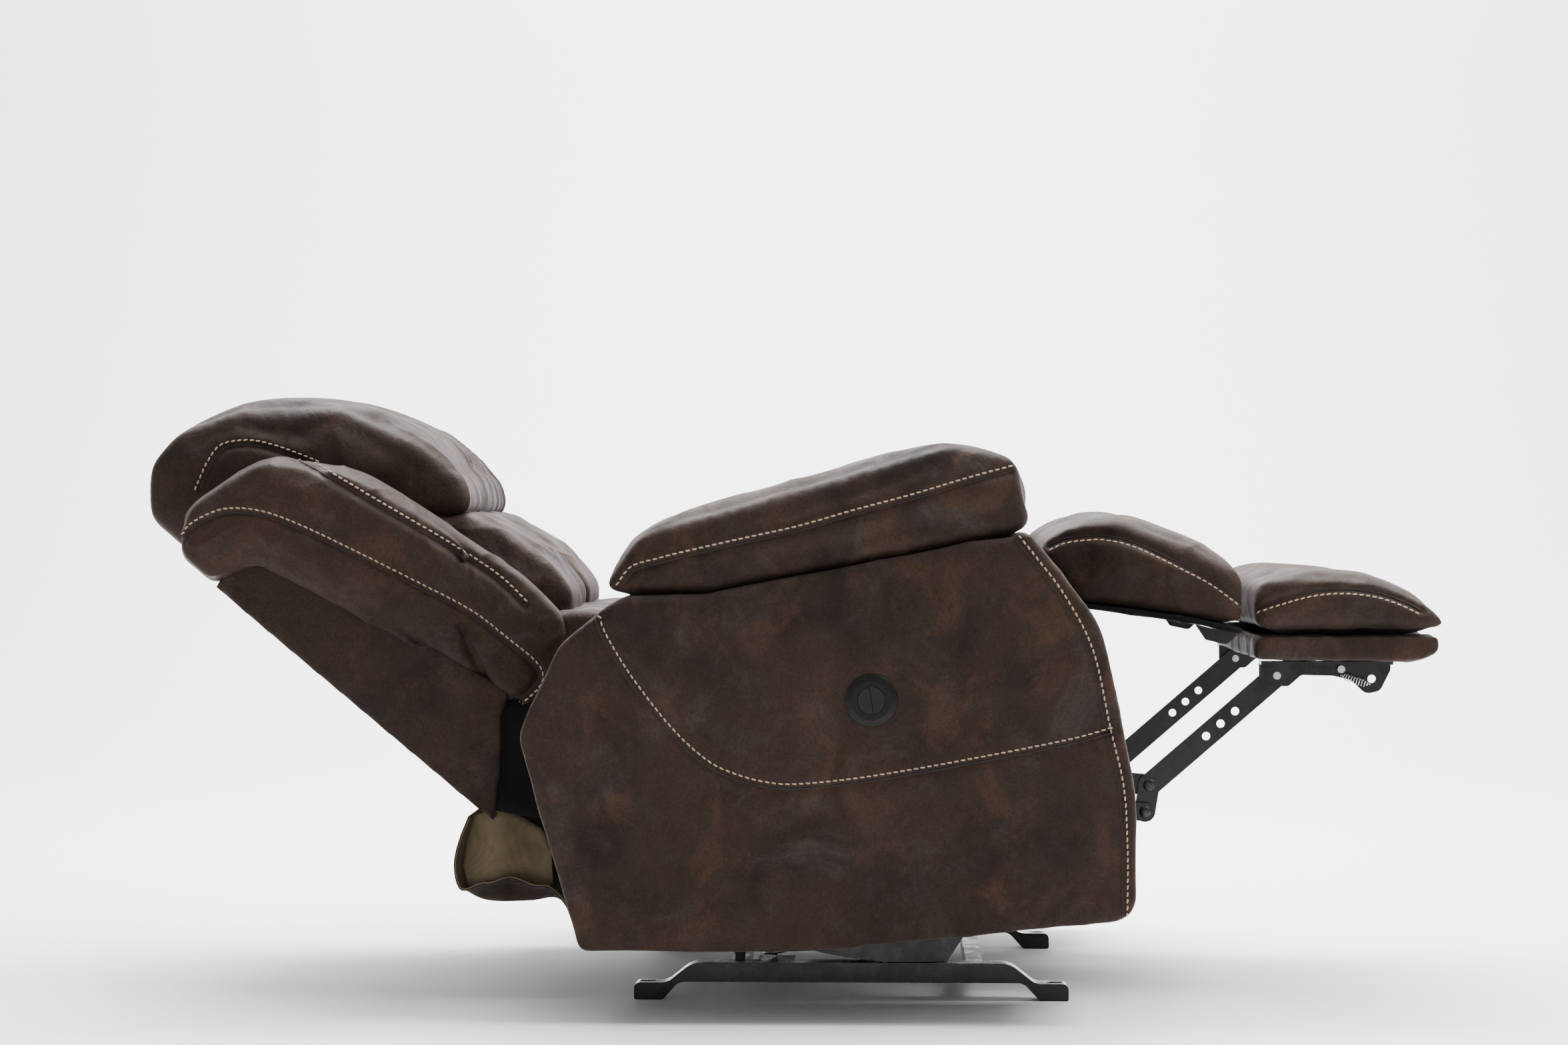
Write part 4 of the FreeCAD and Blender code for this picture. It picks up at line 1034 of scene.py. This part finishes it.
class RECLINER_OT_rear_flap(bpy.types.Operator):
    """Cloth flap under the back, brown outside and khaki inside, with its gussets and the side cloths"""

    bl_idname = "recliner.rear_flap"
    bl_label = "Rear flap"

    def execute(self, context):
        low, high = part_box("rear_flap")
        line = side_line(FLAP_LINE, 0.006)
        columns = 96
        points = []
        for column in range(columns + 1):
            x = low.x + (high.x - low.x) * column / columns
            edge = max(0.0, (abs(x) - 0.215) / (high.x - 0.215))
            edge = edge * edge * (3 - 2 * edge)
            for index, point in enumerate(line):
                share = index / (len(line) - 1)
                wave = math.sin(share * math.pi) * 0.008 * noise.noise(Vector((x * 9, share * 3, 1)))
                lift = eased(FLAP_EDGE_LIFT, share) * MM * edge
                points.append((x, point.y + wave, point.z + wave * 0.5 + lift))
        rows = len(line)
        faces = []
        for column in range(columns):
            for row in range(rows - 1):
                a = column * rows + row
                faces.append((a, a + rows, a + rows + 1, a + 1))
        khaki = khaki_cloth()
        for name, offset, finish, slot in (("rear_flap_cover", 1, cover_material(), "brown_cover"),
                                           ("rear_flap_lining", -1, khaki, "khaki_cloth")):
            mesh = bpy.data.meshes.new(name)
            mesh.from_pydata(points, [], faces)
            sheet = new_object(name, mesh)
            apply_modifier(sheet, "SOLIDIFY", thickness=0.0016, offset=offset)
            smooth_shade(sheet)
            paint(sheet, finish)
            if slot == "brown_cover":
                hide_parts("rear_flap")
            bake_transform(sheet)

        black = dust_cloth()
        for side_name, side in SIDES:
            gusset, area, flat = outline_sheet("flap_gusset_" + side_name, GUSSET_OUTLINE, side * 0.262,
                                               0.010, khaki)
            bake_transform(gusset)
            cloth, area, flat = outline_sheet("side_dust_cloth_" + side_name, SIDE_CLOTH_OUTLINE,
                                              side * 0.2935, 0.002, black)
            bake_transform(cloth)
        return {"FINISHED"}


# ---------------------------------------------------------------- hardware

SPRING_ENDS = ((-649, 433), (-688, 421))
SPRING_X = 0.266
COIL_RADIUS = 5.0


def lathe(name, profile, x, y, z, side):
    """A small turned piece about an axis along X, spun from a profile of (out, radius)."""
    segments = 24
    mesh = bpy.data.meshes.new(name)
    mesh.from_pydata([(side * out, 0, radius) for out, radius in profile],
                     [(i, i + 1) for i in range(len(profile) - 1)], [])
    turned = new_object(name, mesh)
    pick(turned)
    bpy.ops.object.mode_set(mode="EDIT")
    bpy.ops.mesh.select_all(action="SELECT")
    bpy.ops.mesh.spin(steps=segments, angle=math.tau, center=(0, 0, 0), axis=(1, 0, 0))
    bpy.ops.object.mode_set(mode="OBJECT")
    weld(turned, 0.00002)
    set_coordinates(turned, coordinates(turned) + np.array([x, y, z]))
    return smooth_shade(turned)


class RECLINER_OT_mechanism(bpy.types.Operator):
    """Finishes of the steel, wood, springs and switch, with rivet heads and the tension springs"""

    bl_idname = "recliner.mechanism"
    bl_label = "Mechanism"

    def rivets(self, finish):
        head = [(0.0, 0.0082), (0.0012, 0.0080), (0.0026, 0.0062), (0.0033, 0.0032), (0.0035, 0.0)]
        pins = (("elbow_pins", "footrest_drive", 0.45), ("tail_pins", "ottoman_links", 1.0))
        let_in = 0.0012
        for node, body, rise in pins:
            low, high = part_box(node)
            middle = (low + high) / 2
            for name, side in SIDES:
                face = high.x - let_in
                shape = [(0.0, 0.0)] + [(out * rise, radius) for out, radius in head]
                rivet = lathe("%s_head_%s" % (node[:-5], name), shape, side * face,
                              middle.y, middle.z, side)
                finish_piece(rivet, finish, "zinc_steel", body)

    def tension_springs(self, finish):
        turns = 11
        steps = 14
        (start_y, start_z), (end_y, end_z) = SPRING_ENDS
        start = Vector((0, start_y * MM, start_z * MM))
        along = Vector((0, (end_y - start_y) * MM, (end_z - start_z) * MM))
        up = Vector((0, -along.z, along.y)).normalized()
        for name, side in SIDES:
            points = []
            for index in range(turns * steps + 1):
                share = index / (turns * steps)
                turn = share * turns * math.tau
                reach = COIL_RADIUS * MM * min(1.0, 6 * share, 6 * (1 - share))
                point = start + along * share + up * math.cos(turn) * reach
                points.append((side * SPRING_X + math.sin(turn) * reach, point.y, point.z))
            spring = wire("tension_spring_" + name, points, 0.0008, 1)
            finish_piece(spring, finish, "zinc_steel", "footrest")

    def execute(self, context):
        black_zinc = metal_material("black_zinc", (0.055, 0.055, 0.058), (0.025, 0.025, 0.027),
                                    (0.3, 0.5))
        zinc = metal_material("zinc_plate", (0.62, 0.62, 0.60), (0.42, 0.42, 0.41))
        finishes = {
            "black_steel": enamel_material(),
            "zinc_steel": zinc,
            "spring_steel": metal_material("drawn_wire", (0.20, 0.195, 0.19), (0.10, 0.098, 0.095)),
            "black_plastic": moulded_material("black_moulding", (0.0030, 0.0034, 0.0032)),
            "button_plastic": moulded_material("button_moulding", (0.0085, 0.0098, 0.0092)),
            "stop_rubber": moulded_material("stop_rubber_black", (0.014, 0.014, 0.014), (0.6, 0.75)),
            "frame_wood": wood_material(),
            "black_cloth": dust_cloth(),
            "brown_cover": cover_material(),
            "khaki_cloth": khaki_cloth(),
        }
        slots = {entry["node"]: entry["material_slot"] for entry in FRAME["record"]["subparts"]}
        for node, item in FRAME["nodes"].items():
            item.data.materials.clear()
            dark = node in ("elbow_pins", "tail_pins", "fixed_pins")
            item.data.materials.append(black_zinc if dark else finishes[slots[node]])
        self.rivets(black_zinc)
        self.tension_springs(zinc)
        return {"FINISHED"}


# ---------------------------------------------------------------- stage

class RECLINER_OT_stage(bpy.types.Operator):
    """Pale floor that sweeps up behind the chair, soft lights and the camera"""

    bl_idname = "recliner.stage"
    bl_label = "Stage"

    def execute(self, context):
        reach = 16.0
        bend = 2.0
        behind = 3.2
        steps = 12
        profile = [(-reach, 0.0), (behind, 0.0)]
        for step in range(1, steps + 1):
            turn = step / steps * math.pi / 2
            profile.append((behind + bend * math.sin(turn), bend * (1 - math.cos(turn))))
        profile.append((behind + bend, reach))
        points = [(x, y, z) for y in (-reach, reach) for x, z in profile]
        count = len(profile)
        faces = [(i, i + 1, count + i + 1, count + i) for i in range(count - 1)]
        mesh = bpy.data.meshes.new("studio_floor")
        mesh.from_pydata(points, [], faces)
        floor = new_object("studio_floor", mesh)
        smooth_shade(floor)
        made, tree = material("studio_floor_paint")
        surface = shader(tree)
        tone = ramp(tree, pattern(tree, 1.3, 3, 0.5), shades(colours().floor, 0.985, 1.0))
        tree.links.new(tone, surface.inputs["Base Color"])
        surface.inputs["Roughness"].default_value = 0.7
        floor.data.materials.append(made)

        world = bpy.data.worlds.new("studio_world")
        context.scene.world = world
        world.use_nodes = True
        sky = world.node_tree.nodes["Background"]
        sky.inputs["Color"].default_value = (1, 1, 1, 1)
        sky.inputs["Strength"].default_value = 0.52
        for name, place, aim, size, power in (
                ("key_softbox", (-0.5, -2.6, 3.6), (0, -0.1, 0.4), 2.2, 330),
                ("top_softbox", (0.8, 0.6, 3.8), (0.4, 0, 0.5), 3.4, 340),
                ("backdrop_wash", (1.8, 0.0, 4.6), (5.2, 0, 1.0), 3.5, 1000),
                ("side_fill", (-4.5, 1.5, 1.6), (0, 0, 0.4), 2.5, 16)):
            lamp = bpy.data.lights.new(name, "AREA")
            lamp.shape = "SQUARE"
            lamp.size = size
            lamp.energy = power
            holder = new_object(name, lamp)
            holder.location = place
            holder.rotation_euler = (Vector(aim) - Vector(place)).to_track_quat("-Z", "Y").to_euler()

        lens = bpy.data.cameras.new("portrait_lens")
        sensor = 36.0
        image_width = 2352
        focal_length = 4869
        lens.sensor_width = sensor
        lens.lens = sensor * focal_length / image_width
        lens.clip_end = 60
        eye = new_object("studio_camera", lens)
        heading = math.radians(1.753)
        dip = math.radians(0.19)
        level = math.cos(dip)
        forward = Vector((math.cos(heading) * level, math.sin(heading) * level, -math.sin(dip)))
        eye.location = (-4.590, -0.043, 0.650)
        eye.rotation_euler = forward.to_track_quat("-Z", "Y").to_euler()
        context.scene.camera = eye
        return {"FINISHED"}


# ---------------------------------------------------------------- panel and run

class RECLINER_PT_pieces(bpy.types.Panel):
    """Lists the chair's pieces"""

    bl_idname = "RECLINER_PT_pieces"
    bl_label = "Recliner Armchair"
    bl_space_type = "VIEW_3D"
    bl_region_type = "UI"
    bl_category = "Recliner"

    def draw(self, context):
        for operator in OPERATORS:
            self.layout.operator(operator.bl_idname)
        for group in (context.scene.recliner_sizes, context.scene.recliner_colours):
            for name in group.__annotations__:
                self.layout.prop(group, name)


OPERATORS = (
    RECLINER_OT_stage,
    RECLINER_OT_arms,
    RECLINER_OT_backrest,
    RECLINER_OT_seat,
    RECLINER_OT_leg_supports,
    RECLINER_OT_rear_flap,
    RECLINER_OT_mechanism,
)
CLASSES = (ReclinerSizes, ReclinerColours) + OPERATORS + (RECLINER_PT_pieces,)


def register():
    for item in CLASSES:
        bpy.utils.register_class(item)
    bpy.types.Scene.recliner_sizes = bpy.props.PointerProperty(type=ReclinerSizes)
    bpy.types.Scene.recliner_colours = bpy.props.PointerProperty(type=ReclinerColours)


def unregister():
    del bpy.types.Scene.recliner_colours
    del bpy.types.Scene.recliner_sizes
    for item in reversed(CLASSES):
        bpy.utils.unregister_class(item)


def main():
    register()
    deselect()
    bpy.ops.recliner.stage()
    bpy.ops.recliner.arms()
    bpy.ops.recliner.backrest()
    bpy.ops.recliner.seat()
    bpy.ops.recliner.leg_supports()
    bpy.ops.recliner.rear_flap()
    bpy.ops.recliner.mechanism()
    bpy.context.view_layer.update()


if __name__ == "__main__":
    main()
